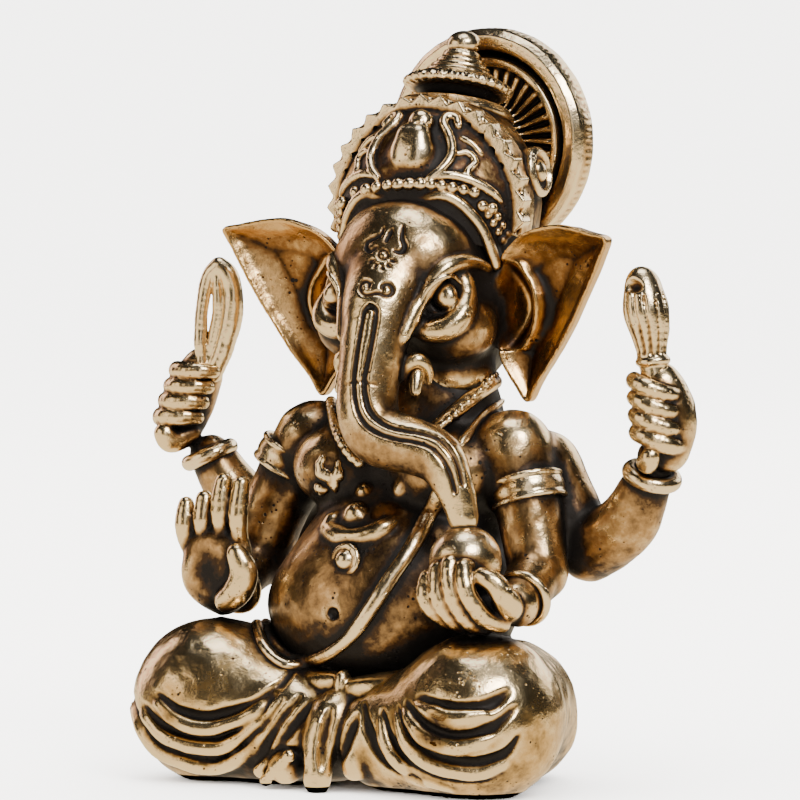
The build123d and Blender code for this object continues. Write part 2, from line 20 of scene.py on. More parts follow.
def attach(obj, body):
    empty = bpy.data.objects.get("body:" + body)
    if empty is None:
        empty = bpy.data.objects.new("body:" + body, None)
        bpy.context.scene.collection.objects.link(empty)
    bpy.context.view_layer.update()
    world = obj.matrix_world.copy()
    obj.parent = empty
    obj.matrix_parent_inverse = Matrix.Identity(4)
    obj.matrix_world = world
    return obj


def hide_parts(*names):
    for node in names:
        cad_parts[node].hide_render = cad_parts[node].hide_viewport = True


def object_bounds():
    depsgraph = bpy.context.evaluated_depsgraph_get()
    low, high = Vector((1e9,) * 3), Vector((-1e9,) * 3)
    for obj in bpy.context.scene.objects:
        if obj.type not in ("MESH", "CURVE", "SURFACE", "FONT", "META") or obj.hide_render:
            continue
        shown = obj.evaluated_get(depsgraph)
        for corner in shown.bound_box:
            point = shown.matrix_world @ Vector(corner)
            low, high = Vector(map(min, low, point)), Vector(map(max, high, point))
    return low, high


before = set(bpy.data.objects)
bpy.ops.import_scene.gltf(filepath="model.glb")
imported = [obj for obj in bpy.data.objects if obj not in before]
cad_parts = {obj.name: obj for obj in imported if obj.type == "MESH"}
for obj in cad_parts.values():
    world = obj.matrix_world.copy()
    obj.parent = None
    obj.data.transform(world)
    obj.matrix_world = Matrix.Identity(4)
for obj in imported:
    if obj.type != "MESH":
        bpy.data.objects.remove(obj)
cad_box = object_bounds()

FIGURE_HEIGHT = 49.34
UNIT = (cad_box[1][2] - cad_box[0][2]) / FIGURE_HEIGHT  # metres to one unit of the sculpture
FAR = 3.0  # the distance that stands for "nowhere near"
LEFT, RIGHT = 1, -1
COARSE = 1.0
CAMERA_TILT = 4  # degrees that the camera looks down
BODY_VIEW, HEAD_VIEW = 32, 26  # degrees from the front that routes over the body and the head are seen at
ROUTE_DISTANCE, ROUTE_TILT = 15, 0.07  # where a route starts in front of the figure, and its fall inwards
NECK_Y, HEAD_TURN = 1.5, 6  # the head is turned this many degrees to its left about the neck
GROOVE_REACH, HOLLOW_REACH = 0.3, 1.1  # how far round a point its groove and its hollow are felt for
TOP_LIGHT_SHARE = 0.14  # painted top light: how much brighter a surface is painted for facing up


# --- Sculpting ---


def vec(point):
    return np.array(point, np.float32)


def mirrored(points, side):
    """The left side's points, on the side asked for."""
    return [(x * side, y, z) for x, y, z in points]


def smooth_line(points, count):
    """Points along a Catmull-Rom line through rows of (x, y, z, and anything else to be blended)."""
    rows = np.array(points, float)
    rows = np.vstack([2 * rows[0] - rows[1], rows, 2 * rows[-1] - rows[-2]])
    spans = len(rows) - 3
    line = []
    for step in np.linspace(0, spans, count):
        i = min(int(step), spans - 1)
        t = step - i
        a, b, c, d = rows[i : i + 4]
        square, cube = 2 * a - 5 * b + 4 * c - d, 3 * b - a - 3 * c + d
        line.append(0.5 * (2 * b + (c - a) * t + square * t**2 + cube * t**3))
    return np.array(line, np.float32)


class Shape:
    """A solid: its distance function, and a box that holds it."""

    def __init__(self, distance, low, high):
        self.distance, self.low, self.high = distance, np.array(low, float), np.array(high, float)


def spun(turn):
    """The rotation by (x, y, z) degrees, and its inverse in single precision."""
    spin = np.eye(3)
    for axis, angle in zip("XYZ", turn):
        spin = np.array(Matrix.Rotation(radians(angle), 3, axis)) @ spin
    return spin, spin.T.astype(np.float32)


def ball(centre, radius):
    c = vec(centre)

    def distance(x, y, z):
        return np.sqrt((x - c[0]) ** 2 + (y - c[1]) ** 2 + (z - c[2]) ** 2) - radius

    return Shape(distance, c - radius, c + radius)


def egg(centre, radii, turn=()):
    """An ellipsoid with half axes along X, Y and Z, turned by (x, y, z) degrees."""
    c, r = vec(centre), vec(radii)
    spin, back = spun(turn)

    def distance(x, y, z):
        dx, dy, dz = x - c[0], y - c[1], z - c[2]
        p = [(back[i, 0] * dx + back[i, 1] * dy + back[i, 2] * dz) / r[i] for i in range(3)]
        near = np.sqrt(p[0] ** 2 + p[1] ** 2 + p[2] ** 2) + 1e-6
        steep = np.sqrt((p[0] / r[0]) ** 2 + (p[1] / r[1]) ** 2 + (p[2] / r[2]) ** 2) + 1e-6
        return near * (near - 1) / steep

    reach = np.abs(spin) @ r
    return Shape(distance, c - reach, c + reach)


def bone(start, start_radius, end, end_radius):
    """A round stretch between two points, rounded at both ends."""
    a, b = vec(start), vec(end)
    along = b - a
    square = float(along @ along) + 1e-9

    def distance(x, y, z):
        dx, dy, dz = x - a[0], y - a[1], z - a[2]
        t = np.clip((dx * along[0] + dy * along[1] + dz * along[2]) / square, 0, 1)
        gap = (dx - along[0] * t) ** 2 + (dy - along[1] * t) ** 2 + (dz - along[2] * t) ** 2
        return np.sqrt(gap) - (start_radius + (end_radius - start_radius) * t)

    low = np.minimum(a - start_radius, b - end_radius)
    high = np.maximum(a + start_radius, b + end_radius)
    return Shape(distance, low, high)


def cord(points, radii, count=None):
    """Stretches of a smooth round cord through the points, with one radius or one to each point."""
    radii = [radii] * len(points) if np.isscalar(radii) else radii
    count = count or 4 * len(points)
    line = smooth_line([(*p, r) for p, r in zip(points, radii)], count)
    return [bone(a[:3], a[3], b[:3], b[3]) for a, b in zip(line, line[1:])]


def slab(centre, half, turn, rounding):
    """A block with half sizes along X, Y and Z, turned by (x, y, z) degrees, with rounded edges."""
    c, h = vec(centre), vec(half) - rounding
    spin, back = spun(turn)

    def distance(x, y, z):
        dx, dy, dz = x - c[0], y - c[1], z - c[2]
        q = [np.abs(back[i, 0] * dx + back[i, 1] * dy + back[i, 2] * dz) - h[i] for i in range(3)]
        outside = np.sqrt(sum(np.maximum(e, 0) ** 2 for e in q))
        inside = np.minimum(np.maximum(np.maximum(q[0], q[1]), q[2]), 0)
        return outside + inside - rounding

    reach = np.abs(spin) @ (h + rounding)
    return Shape(distance, c - reach, c + reach)


def hoop(centre, normal, radius, thick, flat=1.0):
    """A ring: radius to the middle of its section, thick as the section's half width across the ring,
    and flat times that along its axis."""
    c, n = vec(centre), np.array(Vector(normal).normalized(), np.float32)

    def distance(x, y, z):
        dx, dy, dz = x - c[0], y - c[1], z - c[2]
        h = dx * n[0] + dy * n[1] + dz * n[2]
        out = np.sqrt(np.maximum(dx**2 + dy**2 + dz**2 - h**2, 0)) - radius
        reach = np.sqrt(out**2 + (h / flat) ** 2)
        return (reach - thick) * min(flat, 1.0)

    reach = (radius + thick) * np.sqrt(np.maximum(1 - n**2, 0)) + thick * max(flat, 1.0)
    return Shape(distance, c - reach, c + reach)


def outline_gap(points, u, v):
    """Signed distance in a plane from a closed outline, negative inside."""
    count = len(points)
    square = np.full(np.broadcast(u, v).shape, 1e6, np.float32)
    inside = np.zeros(square.shape, bool)
    for i in range(count):
        (au, av), (bu, bv) = points[i], points[(i + 1) % count]
        eu, ev = bu - au, bv - av
        t = np.clip(((u - au) * eu + (v - av) * ev) / (eu**2 + ev**2 + 1e-9), 0, 1)
        square = np.minimum(square, (u - au - eu * t) ** 2 + (v - av - ev * t) ** 2)
        if ev:
            inside ^= ((av > v) != (bv > v)) & (u < au + eu * (v - av) / ev)
    return np.where(inside, -1, 1) * np.sqrt(square)


def turned(base, axis, profile, flutes=None):
    """A turned solid from a closed (radius, height) outline; flutes=(count, depth, from, to) ripples it."""
    c = vec(base)
    up = Vector(axis).normalized()
    side = up.cross(Vector((0, 0, 1) if abs(up.z) < 0.9 else (0, 1, 0))).normalized()
    n, s, w = vec(up), vec(side), vec(up.cross(side))

    def distance(x, y, z):
        dx, dy, dz = x - c[0], y - c[1], z - c[2]
        h = dx * n[0] + dy * n[1] + dz * n[2]
        a = dx * s[0] + dy * s[1] + dz * s[2]
        b = dx * w[0] + dy * w[1] + dz * w[2]
        reach = np.sqrt(a**2 + b**2)
        gap = outline_gap(profile, reach, h)
        if flutes:
            count, depth, start, end = flutes
            ripple = depth * np.cos(count * np.arctan2(a, b))
            gap = gap + ripple * np.clip((reach - start) * 2, 0, 1) * np.clip((end - reach) * 2, 0, 1)
        return gap

    radius, heights = max(r for r, _ in profile), [h for _, h in profile]
    ends = [c + n * h for h in (min(heights), max(heights))]
    reach = radius * np.sqrt(np.maximum(1 - n**2, 0)) + 0.3
    return Shape(distance, np.minimum(*ends) - reach, np.maximum(*ends) + reach)


def zigzag_band(centre, radius, reach, thick, half_depth, teeth, sweep):
    """A ribbon bent in an arch over X and Z, whose radius goes in and out by reach."""
    cx, cy, cz = centre
    half = radians(sweep) / 2

    def distance(x, y, z):
        dx, dz = x - cx, z - cz
        out = np.sqrt(dx**2 + dz**2)
        angle = np.arctan2(dx, dz)
        wave = np.abs(((angle / half) * teeth / 2 + 0.25) % 1 - 0.5) * 4 - 1
        ribbon = np.abs(out - radius - reach * wave) * 0.72 - thick
        ends = (np.abs(angle) - half) * radius
        return np.maximum(np.maximum(ribbon, np.abs(y - cy) - half_depth), ends)

    edge = radius + reach + thick
    return Shape(distance, (cx - edge, cy - half_depth, cz - edge), (cx + edge, cy + half_depth, cz + edge))


def seen(points, view, middle=0.0):
    """Points (across, up) of a plane facing view degrees from the front, moved well out in front of it."""
    c, s = cos(radians(view)), sin(radians(view))
    out, rise = ROUTE_DISTANCE, ROUTE_DISTANCE * ROUTE_TILT
    return [((u - middle) * c + out * s, (u - middle) * s - out * c, v + rise) for u, v in points]


def sight(view):
    """The way back from those points to the figure."""
    return (-sin(radians(view)), cos(radians(view)), -ROUTE_TILT)


def listed(shapes):
    return shapes if isinstance(shapes, list) else [shapes]


class Field:
    """A block of space that shapes are added to and cut from.

    grid holds the distance to the surface at each point, below zero inside. owner holds the number of the
    piece whose shape is nearest to each point.
    """

    def __init__(self, low, high, step):
        self.low, self.step = np.array(low, float), step * COARSE
        count = np.ceil((np.array(high) - self.low) / self.step).astype(int) + 1
        self.grid = np.full(count, FAR, np.float32)
        self.owner_gap = np.full(count, FAR, np.float32)
        self.owner = np.zeros(count, np.uint8)
        self.names = []

    def window(self, shape, margin):
        """The slices of the grid that a shape can reach, and the X, Y and Z of the points in them."""
        first = np.floor((shape.low - margin - self.low) / self.step).astype(int)
        last = np.ceil((shape.high + margin - self.low) / self.step).astype(int) + 1
        first, last = np.maximum(first, 0), np.minimum(last, self.grid.shape)
        if np.any(last <= first):
            return None, None
        places = [self.low[i] + self.step * np.arange(first[i], last[i]) for i in range(3)]
        axes = [row.astype(np.float32) for row in places]
        x, y, z = axes[0][:, None, None], axes[1][None, :, None], axes[2][None, None, :]
        return tuple(slice(a, b) for a, b in zip(first, last)), (x, y, z)

    def add(self, name, shapes, blend):
        """Joins shapes on, rounding the inner corner between them and what is there over blend."""
        if name not in self.names:
            self.names.append(name)
        index = self.names.index(name)
        for shape in listed(shapes):
            where, axes = self.window(shape, blend + 3 * self.step + 0.3)
            if where is None:
                continue
            new = shape.distance(*axes)
            old = self.grid[where]
            close = np.maximum(blend - np.abs(old - new), 0)
            self.grid[where] = np.minimum(old, new) - close**2 * (0.25 / blend)
            nearer = new < self.owner_gap[where]
            self.owner[where][nearer] = index
            self.owner_gap[where] = np.minimum(self.owner_gap[where], new)

    def cut(self, shapes, blend):
        """Takes shapes away, rounding the edge over blend."""
        for shape in listed(shapes):
            where, axes = self.window(shape, blend + 3 * self.step)
            if where is None:
                continue
            new = -shape.distance(*axes)
            old = self.grid[where]
            close = np.maximum(blend - np.abs(old - new), 0)
            self.grid[where] = np.maximum(old, new) + close**2 * (0.25 / blend)

    def cut_below(self, height):
        """Takes away all that is below a height."""
        z = self.low[2] + self.step * np.arange(self.grid.shape[2])
        self.grid = np.maximum(self.grid, (height - z).astype(np.float32)[None, None, :])

    def drape(self, points, direction, lift=0.0):
        """Moves points along a direction onto the surface, then back off it by lift."""
        d = vec(Vector(direction).normalized())
        places = np.array(points, np.float32)
        for _ in range(40):
            gap = sampled(self.grid, (places - self.low) / self.step)
            places = places + d * (np.clip(gap, -1, 1) * 0.8)[:, None]
        return [tuple(p) for p in places - d * lift]

    def roughen(self, cell, depth, seed):
        """Moves the surface in and out by up to depth, in lumps of about cell across."""
        count = [int(n * self.step / cell) + 4 for n in self.grid.shape]
        rng = np.random.default_rng(seed)
        lumps = rng.uniform(-1, 1, count).astype(np.float32)
        for axis, size in enumerate(self.grid.shape):
            place = np.arange(size) * self.step / cell + 1
            base = place.astype(int)
            t = (place - base).astype(np.float32)
            t = t * t * (3 - 2 * t)
            rows = np.moveaxis(lumps, axis, 0)
            mix = t.reshape(-1, *[1] * (rows.ndim - 1))
            lumps = np.moveaxis(rows[base] * (1 - mix) + rows[base + 1] * mix, 0, axis)
        self.grid += lumps * depth


def blurred(values, radius):
    """Each value replaced by the mean of the block of that radius, in grid steps, around it."""
    for axis in range(3):
        before = np.repeat(values.take([0], axis), radius + 1, axis)
        after = np.repeat(values.take([-1], axis), radius, axis)
        padded = np.concatenate([before, values, after], axis)
        total = np.cumsum(padded, axis, dtype=np.float32)
        size = values.shape[axis]
        upper = np.take(total, np.arange(2 * radius + 1, 2 * radius + 1 + size), axis)
        lower = np.take(total, np.arange(0, size), axis)
        values = (upper - lower) / (2 * radius + 1)
    return values


def sampled(values, points):
    """Values of a grid at points given in grid steps, blended between the eight corners around each."""
    base = np.clip(np.floor(points).astype(int), 0, np.array(values.shape) - 2)
    t = (points - base).astype(np.float32)
    total = 0
    for i in (0, 1):
        for j in (0, 1):
            for k in (0, 1):
                weight = (
                    (t[:, 0] if i else 1 - t[:, 0])
                    * (t[:, 1] if j else 1 - t[:, 1])
                    * (t[:, 2] if k else 1 - t[:, 2])
                )
                total = total + weight * values[base[:, 0] + i, base[:, 1] + j, base[:, 2] + k]
    return total


def surface(grid):
    """Vertices in grid steps, and the quads of the surface where the grid crosses zero.

    Each cell that the surface passes through gets one vertex, at the mean of its edges' crossings.
    Also returns the grid point inside the solid next to each quad.
    """
    inside = grid < 0
    cells = np.zeros(np.array(grid.shape) - 1, np.uint8)
    corners = [(i, j, k) for i in (0, 1) for j in (0, 1) for k in (0, 1)]
    size = cells.shape
    for i, j, k in corners:
        cells += inside[i : i + size[0], j : j + size[1], k : k + size[2]]
    mixed = np.argwhere((cells > 0) & (cells < 8))
    number = np.full(size, -1, np.int32)
    number[tuple(mixed.T)] = np.arange(len(mixed))
    total = np.zeros((len(mixed), 3), np.float32)
    hits = np.zeros(len(mixed), np.float32)
    for a in corners:
        for axis in range(3):
            if a[axis]:
                continue
            b = tuple(1 if i == axis else a[i] for i in range(3))
            va = grid[mixed[:, 0] + a[0], mixed[:, 1] + a[1], mixed[:, 2] + a[2]]
            vb = grid[mixed[:, 0] + b[0], mixed[:, 1] + b[1], mixed[:, 2] + b[2]]
            crosses = (va < 0) != (vb < 0)
            t = np.where(crosses, va / np.where(crosses, va - vb, 1), 0)
            for i in range(3):
                total[:, i] += np.where(crosses, a[i] + (t if i == axis else 0), 0)
            hits += crosses
    points = mixed + total / hits[:, None]
    quads, owners = [], []
    for axis in range(3):
        u, v = (axis + 1) % 3, (axis + 2) % 3
        low = np.take(inside, np.arange(grid.shape[axis] - 1), axis)
        high = np.take(inside, np.arange(1, grid.shape[axis]), axis)
        edges = np.argwhere(low != high)
        keep = (edges[:, u] > 0) & (edges[:, v] > 0)
        keep &= (edges[:, u] < grid.shape[u] - 1) & (edges[:, v] < grid.shape[v] - 1)
        edges = edges[keep]
        ring = []
        for du, dv in ((1, 1), (0, 1), (0, 0), (1, 0)):
            cell = edges.copy()
            cell[:, u] -= du
            cell[:, v] -= dv
            ring.append(number[tuple(cell.T)])
        ring = np.stack(ring, 1)
        starts_inside = inside[tuple(edges.T)]
        ring[~starts_inside] = ring[~starts_inside][:, ::-1]
        quads.append(ring)
        inner = edges.copy()
        inner[:, axis] += ~starts_inside
        owners.append(inner)
    return points, np.concatenate(quads), np.concatenate(owners)


def make_mesh(name, points, quads, shades):
    """A smooth mesh object from arrays, with a named value kept on each vertex."""
    mesh = bpy.data.meshes.new(name)
    mesh.vertices.add(len(points))
    mesh.vertices.foreach_set("co", (points * UNIT).astype(np.float32).ravel())
    mesh.loops.add(quads.size)
    mesh.loops.foreach_set("vertex_index", quads.astype(np.int32).ravel())
    mesh.polygons.add(len(quads))
    mesh.polygons.foreach_set("loop_start", np.arange(0, quads.size, 4, dtype=np.int32))
    mesh.update(calc_edges=True)
    mesh.validate()
    for key, values in shades.items():
        layer = mesh.attributes.new(key, "FLOAT", "POINT")
        layer.data.foreach_set("value", values.astype(np.float32))
    mesh.shade_smooth()
    piece = bpy.data.objects.new(name, mesh)
    bpy.context.scene.collection.objects.link(piece)
    return piece


def finish_piece(piece, node, material):
    """Puts a piece in the place of the CAD's node of that name."""
    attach(piece, "root")
    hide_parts(node)
    piece.data.materials.append(material)


def brought(other, field, turn=0.0):
    """Another field's distances on this field's grid, the other having been turned about the neck."""
    c, s = cos(radians(turn)), sin(radians(turn))
    rows = [np.arange(n) * field.step + low for n, low in zip(field.grid.shape, field.low)]
    y, z = np.meshgrid(*rows[1:], indexing="ij")
    result = np.empty_like(field.grid)
    last = np.array(other.grid.shape) - 1
    for i, x in enumerate(rows[0]):
        across, behind = x * c + (y - NECK_Y) * s, (y - NECK_Y) * c - x * s + NECK_Y
        place = (np.stack([across, behind, z], -1).reshape(-1, 3) - other.low) / other.step
        outside = np.any((place < 0) | (place > last), axis=1)
        result[i] = np.where(outside, FAR, sampled(other.grid, np.clip(place, 0, last))).reshape(y.shape)
    return result


def cast(field, materials, shade_from=(), turn=0.0):
    """Makes the pieces of a field: one mesh to each name that shapes were added under.

    materials has a material for each name that has its own, and under None the one for the rest.
    shade_from lists grids of distance, on the field's own grid, whose solids also darken the surface near
    them: patina between the ornaments and the body, and painted shadow under the head, the trunk and the
    crown. turn, in degrees about the neck, is how far the finished pieces are turned to the figure's left.
    """
    solid = field.grid
    for other in shade_from:
        solid = np.minimum(solid, other)
    held = np.clip(solid, -FAR, FAR)
    fine = blurred(held, max(1, round(GROOVE_REACH / field.step)))
    wide = blurred(held, max(1, round(HOLLOW_REACH / field.step)))
    points, quads, inner = surface(field.grid)
    up = np.array((0, 0, 1), np.float32)
    # Painted top light: hollow is raised on surfaces that face up, so the brass there is painted brighter
    skyward = (sampled(wide, points + up) - sampled(wide, points - up)) / (2 * field.step)
    groove, hollow = sampled(fine, points), sampled(wide, points) + TOP_LIGHT_SHARE * skyward
    places = points * field.step + field.low
    if turn:
        c, s = cos(radians(turn)), sin(radians(turn))
        x, y = places[:, 0], places[:, 1] - NECK_Y
        places = np.stack([x * c - y * s, x * s + y * c + NECK_Y, places[:, 2]], 1)
    label = field.owner[tuple(inner.T)]
    for index, name in enumerate(field.names):
        mine = quads[label == index]
        used, renumbered = np.unique(mine, return_inverse=True)
        shades = {"groove": groove[used], "hollow": hollow[used]}
        piece = make_mesh("cast_" + name, places[used], renumbered.reshape(mine.shape), shades)
        finish_piece(piece, name, materials.get(name, materials[None]))


# --- The body ---

# Routes over the body, as (across, up) seen from BODY_VIEW: the grooves of the folded cloth, and the thread
RIGHT_FOLDS = [
    [(-17.2, 5.6), (-15.9, 4.5), (-14.2, 4.0), (-12.3, 4.4), (-10.6, 5.2), (-9.2, 6.3), (-8.4, 7.2)],
    [(-18.2, 4.8), (-16.9, 3.5), (-15.2, 2.9), (-13.2, 2.75), (-11.9, 3.4), (-10.7, 4.4), (-9.4, 5.8)],
    [(-19.2, 6.1), (-18.6, 4.2), (-17.2, 2.4), (-15.2, 1.6)]
    + [(-13.5, 1.4), (-11.9, 2.1), (-10.4, 3.6), (-9.0, 5.4)],
]
LEFT_FOLDS = [
    [(-3.8, 5.2), (-3.6, 3.5), (-2.4, 1.5), (-0.4, 0.3), (1.6, -0.3)],
    [(-2.6, 4.8), (-2.2, 3.1), (-0.7, 1.45), (1.8, 0.45), (4.2, 0.4)],
    [(-1.6, 5.0), (-0.9, 3.3), (1.0, 1.9), (3.5, 1.5), (5.3, 2.1), (6.2, 3.3)],
    [(-1.1, 5.3), (0.2, 3.8), (2.2, 3.2), (4.3, 3.7), (6.1, 5.2)],
    [(-0.3, 5.8), (1.8, 5.1), (4.1, 5.3), (5.6, 6.2)],
]
MIDDLE_FOLDS = [
    [(-7.9, 5.6), (-9.2, 4.1), (-10.4, 2.0), (-11.2, 0.9)],
    [(-7.2, 5.2), (-8.4, 3.7), (-9.6, 2.0)],
    [(-5.9, 4.9), (-6.3, 3.2), (-6.5, 0.9)],
    [(-4.3, 4.4), (-4.9, 2.9), (-5.4, 1.2)],
]
THREAD = [(1.4, 19.2), (0.6, 17.6), (-0.7, 15.2), (-2.0, 13.3), (-3.1, 11.6), (-4.5, 9.6)]
THREAD += [(-5.9, 8.4), (-7.4, 7.7), (-8.7, 7.7), (-9.8, 8.5), (-10.4, 9.6), (-10.7, 11.0)]
LEFT_FINGERS = [  # of the front hand, from the little finger: tip, middle and root over X and Z
    [(7.0, 14.1), (7.2, 12.9), (8.0, 11.8)],
    [(7.8, 14.7), (8.1, 13.1), (8.8, 11.6)],
    [(8.7, 15.1), (9.1, 13.4), (9.8, 11.6)],
    [(9.7, 14.9), (10.2, 13.5), (10.9, 11.9)],
]
RIGHT_FINGERS = [  # root over X and Z, lean and length
    (-13.7, 15.2, -0.1, 2.7),
    (-12.35, 15.5, -0.05, 2.8),
    (-11.0, 15.6, 0.1, 3.9),
    (-9.7, 15.4, 0.2, 4.0),
]


def side_name(side):
    return "left" if side > 0 else "right"


def bars(points, radius, end_radius=None):
    """Round stretches from point to point, tapering to end_radius at both ends if it is given."""
    last = len(points) - 1
    end = radius if end_radius is None else end_radius
    radii = [end + (radius - end) * min(1, 4 * min(i, last - i) / last) for i in range(last + 1)]
    return [bone(a, ra, b, rb) for a, b, ra, rb in zip(points, points[1:], radii, radii[1:])]


def laid(field, route, lift=0.0, count=None, view=BODY_VIEW, middle=0.0):
    """A smooth line through a route's points, laid on a field's surface as seen from view.

    Where the line slips off an edge of the surface, only its longest unbroken stretch is kept.
    """
    line = smooth_line(seen(route, view, middle), count or 7 * len(route))
    line = [tuple(point) for point in field.drape(line, sight(view), lift)]
    steps = [(Vector(b) - Vector(a)).length for a, b in zip(line, line[1:])]
    limit = max(4 * sorted(steps)[len(steps) // 2], 0.5)
    runs = [[line[0]]]
    for point, step in zip(line[1:], steps):
        if step > limit:
            runs.append([])
        runs[-1].append(point)
    return max(runs, key=len)


def spot_on(field, across, up, lift=0.0, **seen_from):
    """The place on a field's surface seen at (across, up)."""
    return laid(field, [(across, up)] * 2, lift, 2, **seen_from)[0]


def add_torso(field):
    field.add("seat", egg((0, 0.6, 3.2), (10.6, 7.0, 4.6)), 0.5)
    field.add("belly", egg((-0.1, -1.6, 12.8), (7.5, 7.8, 7.4)), 0.8)
    field.add("belly", egg((-1.1, -3.3, 11.6), (7.6, 6.7, 5.6)), 1.0)
    field.add("chest", egg((0, -0.2, 20.2), (7.9, 4.7, 5.2)), 1.6)
    field.add("chest", egg((0, -0.2, 24.6), (5.6, 4.2, 4.2)), 1.6)
    for side in (LEFT, RIGHT):
        field.add("chest", egg((3.9 * side, -3.0, 20.5), (3.5, 3.2, 2.8)), 0.9)
    for u, v, size in ((-4.25, 17.4, 0.8), (-5.85, 16.9, 0.5), (-1.28, 19.0, 0.5), (-3.7, 18.8, 0.5)):
        field.add("belly" if v < 18 else "chest", ball(spot_on(field, u, v, -0.25), size), 0.45)
    fold = [(-6.3, 16.6), (-5.4, 16.0), (-4.0, 15.9), (-2.6, 16.4), (-1.9, 16.9)]
    field.add("belly", bars(laid(field, fold, -0.15), 0.34, 0.1), 0.5)
    field.cut(ball(spot_on(field, -5.8, 10.95), 0.42), 0.2)


def add_legs(field):
    for side in (LEFT, RIGHT):
        leg = side_name(side) + "_leg"
        knee_x = 10.1 - 0.8 * side
        hip, knee, ankle = mirrored([(6.6, 0.0, 4.8), (knee_x, -7.8, 5.1), (2.2, -8.2, 3.6)], side)
        field.add(leg, bone(hip, 4.6, knee, 5.2), 0.8)
        field.add(leg, egg(knee, (5.4, 5.2, 5.2)), 0.8)
        field.add(leg, bone(knee, 5.0, ankle, 3.2), 1.0)
        field.add(leg, egg((5.6 * side, -7.6, 2.2), (6.4, 3.6, 2.2)), 1.0)
    # The waist cloth's rolled edge, knotted in front, and the pleat that hangs over the ankles
    sash = [(-7.4, -3.2, 8.8), (-5.4, -6.4, 7.3), (-2.8, -8.4, 6.7), (-0.6, -9.0, 6.9)]
    field.add("waist_sash", cord(sash, [0.7, 0.8, 0.85, 0.6]), 0.35)
    sash = [(0.3, -9.1, 6.6), (2.0, -8.9, 6.6), (3.9, -8.2, 7.1), (6.0, -5.6, 8.2), (7.4, -3.2, 9.0)]
    field.add("waist_sash", cord(sash, [0.6, 0.85, 0.75, 0.7, 0.6]), 0.35)
    field.add("waist_sash", egg((-0.2, -9.3, 6.9), (0.5, 0.7, 0.95)), 0.15)
    pleat = [(0.0, -8.2, 5.9), (-0.7, -10.2, 4.4), (-0.9, -11.1, 2.4), (-0.8, -11.5, 0.5)]
    field.add("front_pleat", cord(pleat, [1.2, 1.35, 0.95, 0.75]), 0.4)
    pleat = [(1.2, -8.6, 5.2), (1.3, -10.2, 3.6), (1.5, -10.7, 1.4)]
    field.add("front_pleat", cord(pleat, [0.5, 0.6, 0.6]), 0.6)
    pleat = [(-2.2, -8.6, 5.6), (-3.2, -10.4, 3.7), (-5.2, -11.3, 1.2)]
    field.add("right_leg", cord(pleat, [0.7, 0.75, 0.6]), 0.5)
    pleat = [(-1.6, -9.0, 5.2), (-2.3, -10.6, 3.4), (-3.6, -11.3, 2.2)]
    field.add("right_leg", cord(pleat, [0.5, 0.55, 0.4]), 0.4)
    for routes, depth in ((RIGHT_FOLDS, 0.38), (LEFT_FOLDS, 0.34), (MIDDLE_FOLDS, 0.26)):
        for route in routes:
            field.cut(bars(laid(field, route, 0.1), depth, 0.1), 0.3)
    # Raised edges below the longest grooves
    for leg, routes in (("right_leg", RIGHT_FOLDS), ("left_leg", LEFT_FOLDS[1:])):
        for route in routes:
            line = laid(field, [(u, v - 0.62) for u, v in route[:-1]], -0.16)
            field.add(leg, bars(line, 0.34, 0.12), 0.4)
    field.cut(egg((-3.2, -12.2, 1.3), (1.5, 1.5, 1.8), (0, 25, 0)), 0.4)
    field.add("foot", bone((-3.0, -9.4, 2.2), 1.3, (-3.5, -11.1, 1.5), 1.2), 0.2)
    for i in range(5):
        field.add("toes", ball((-2.6 - 0.5 * i, -12.1 + 0.09 * i, 2.3 - 0.42 * i), 0.45), 0.12)


def add_front_arms(field):
    for side in (LEFT, RIGHT):
        arm, forearm = side_name(side) + "_upper_arm", side_name(side) + "_forearm"
        out = 0.0 if side == LEFT else 0.8
        line = [(7.6, -0.9, 21.9), (8.9 + out, -1.4, 18.8), (10.4 + out, -2.3, 14.2)]
        shoulder, bulge, elbow = mirrored(line, side)
        field.add(arm, ball(shoulder, 2.65), 1.0)
        field.add(arm, cord([shoulder, bulge, elbow], [2.4, 2.05, 1.85], 8), 0.6)
        wrist = (11.2, -6.4, 12.5) if side == LEFT else (-11.5, -6.0, 12.2)
        field.add(forearm, bone(elbow, 1.9, wrist, 1.55), 0.5)
    # The raised right hand
    field.add("right_hand", egg((-11.4, -7.0, 13.6), (2.75, 1.35, 2.6)), 0.5)
    field.add("right_hand", egg((-11.6, -6.8, 15.2), (2.6, 1.0, 1.6)), 0.5)
    field.cut(egg((-11.7, -9.7, 14.0), (1.5, 1.45, 1.7)), 1.0)
    for x, z, lean, length in RIGHT_FINGERS:
        finger = [(x, -6.9, z), (x + lean * 0.6, -7.3, z + length * 0.5), (x + lean, -7.1, z + length)]
        field.add("right_hand", cord(finger, [0.62, 0.64, 0.5], 7), 0.1)
    thumb = [(-10.2, -7.9, 11.7), (-8.9, -8.2, 12.6), (-8.5, -8.3, 13.9), (-8.9, -8.6, 15.0)]
    field.add("right_hand", cord(thumb, [0.8, 0.85, 0.75, 0.55]), 0.25)
    # The left hand, with its fingers up the front of the sweet
    field.add("left_hand", egg((9.4, -8.3, 12.1), (2.5, 1.9, 1.4)), 0.5)
    for tip, middle, root in LEFT_FINGERS:
        finger = [
            (root[0] + 0.5, -8.8, root[1] - 0.5),
            (root[0], -10.1, root[1]),
            (middle[0], -10.9, middle[1]),
            (tip[0], -10.5, tip[1]),
            (tip[0] + 0.1, -10.0, tip[1] + 0.15),
        ]
        field.add("left_hand", cord(finger, [0.6, 0.64, 0.66, 0.6, 0.5], 14), 0.07)
    thumb = [(11.2, -7.6, 12.3), (12.0, -8.8, 12.6), (12.1, -9.7, 13.4)]
    thumb += [(11.6, -10.1, 14.2), (10.9, -10.2, 14.5)]
    field.add("left_hand", cord(thumb, [1.0, 0.85, 0.72, 0.66, 0.6], 14), 0.15)


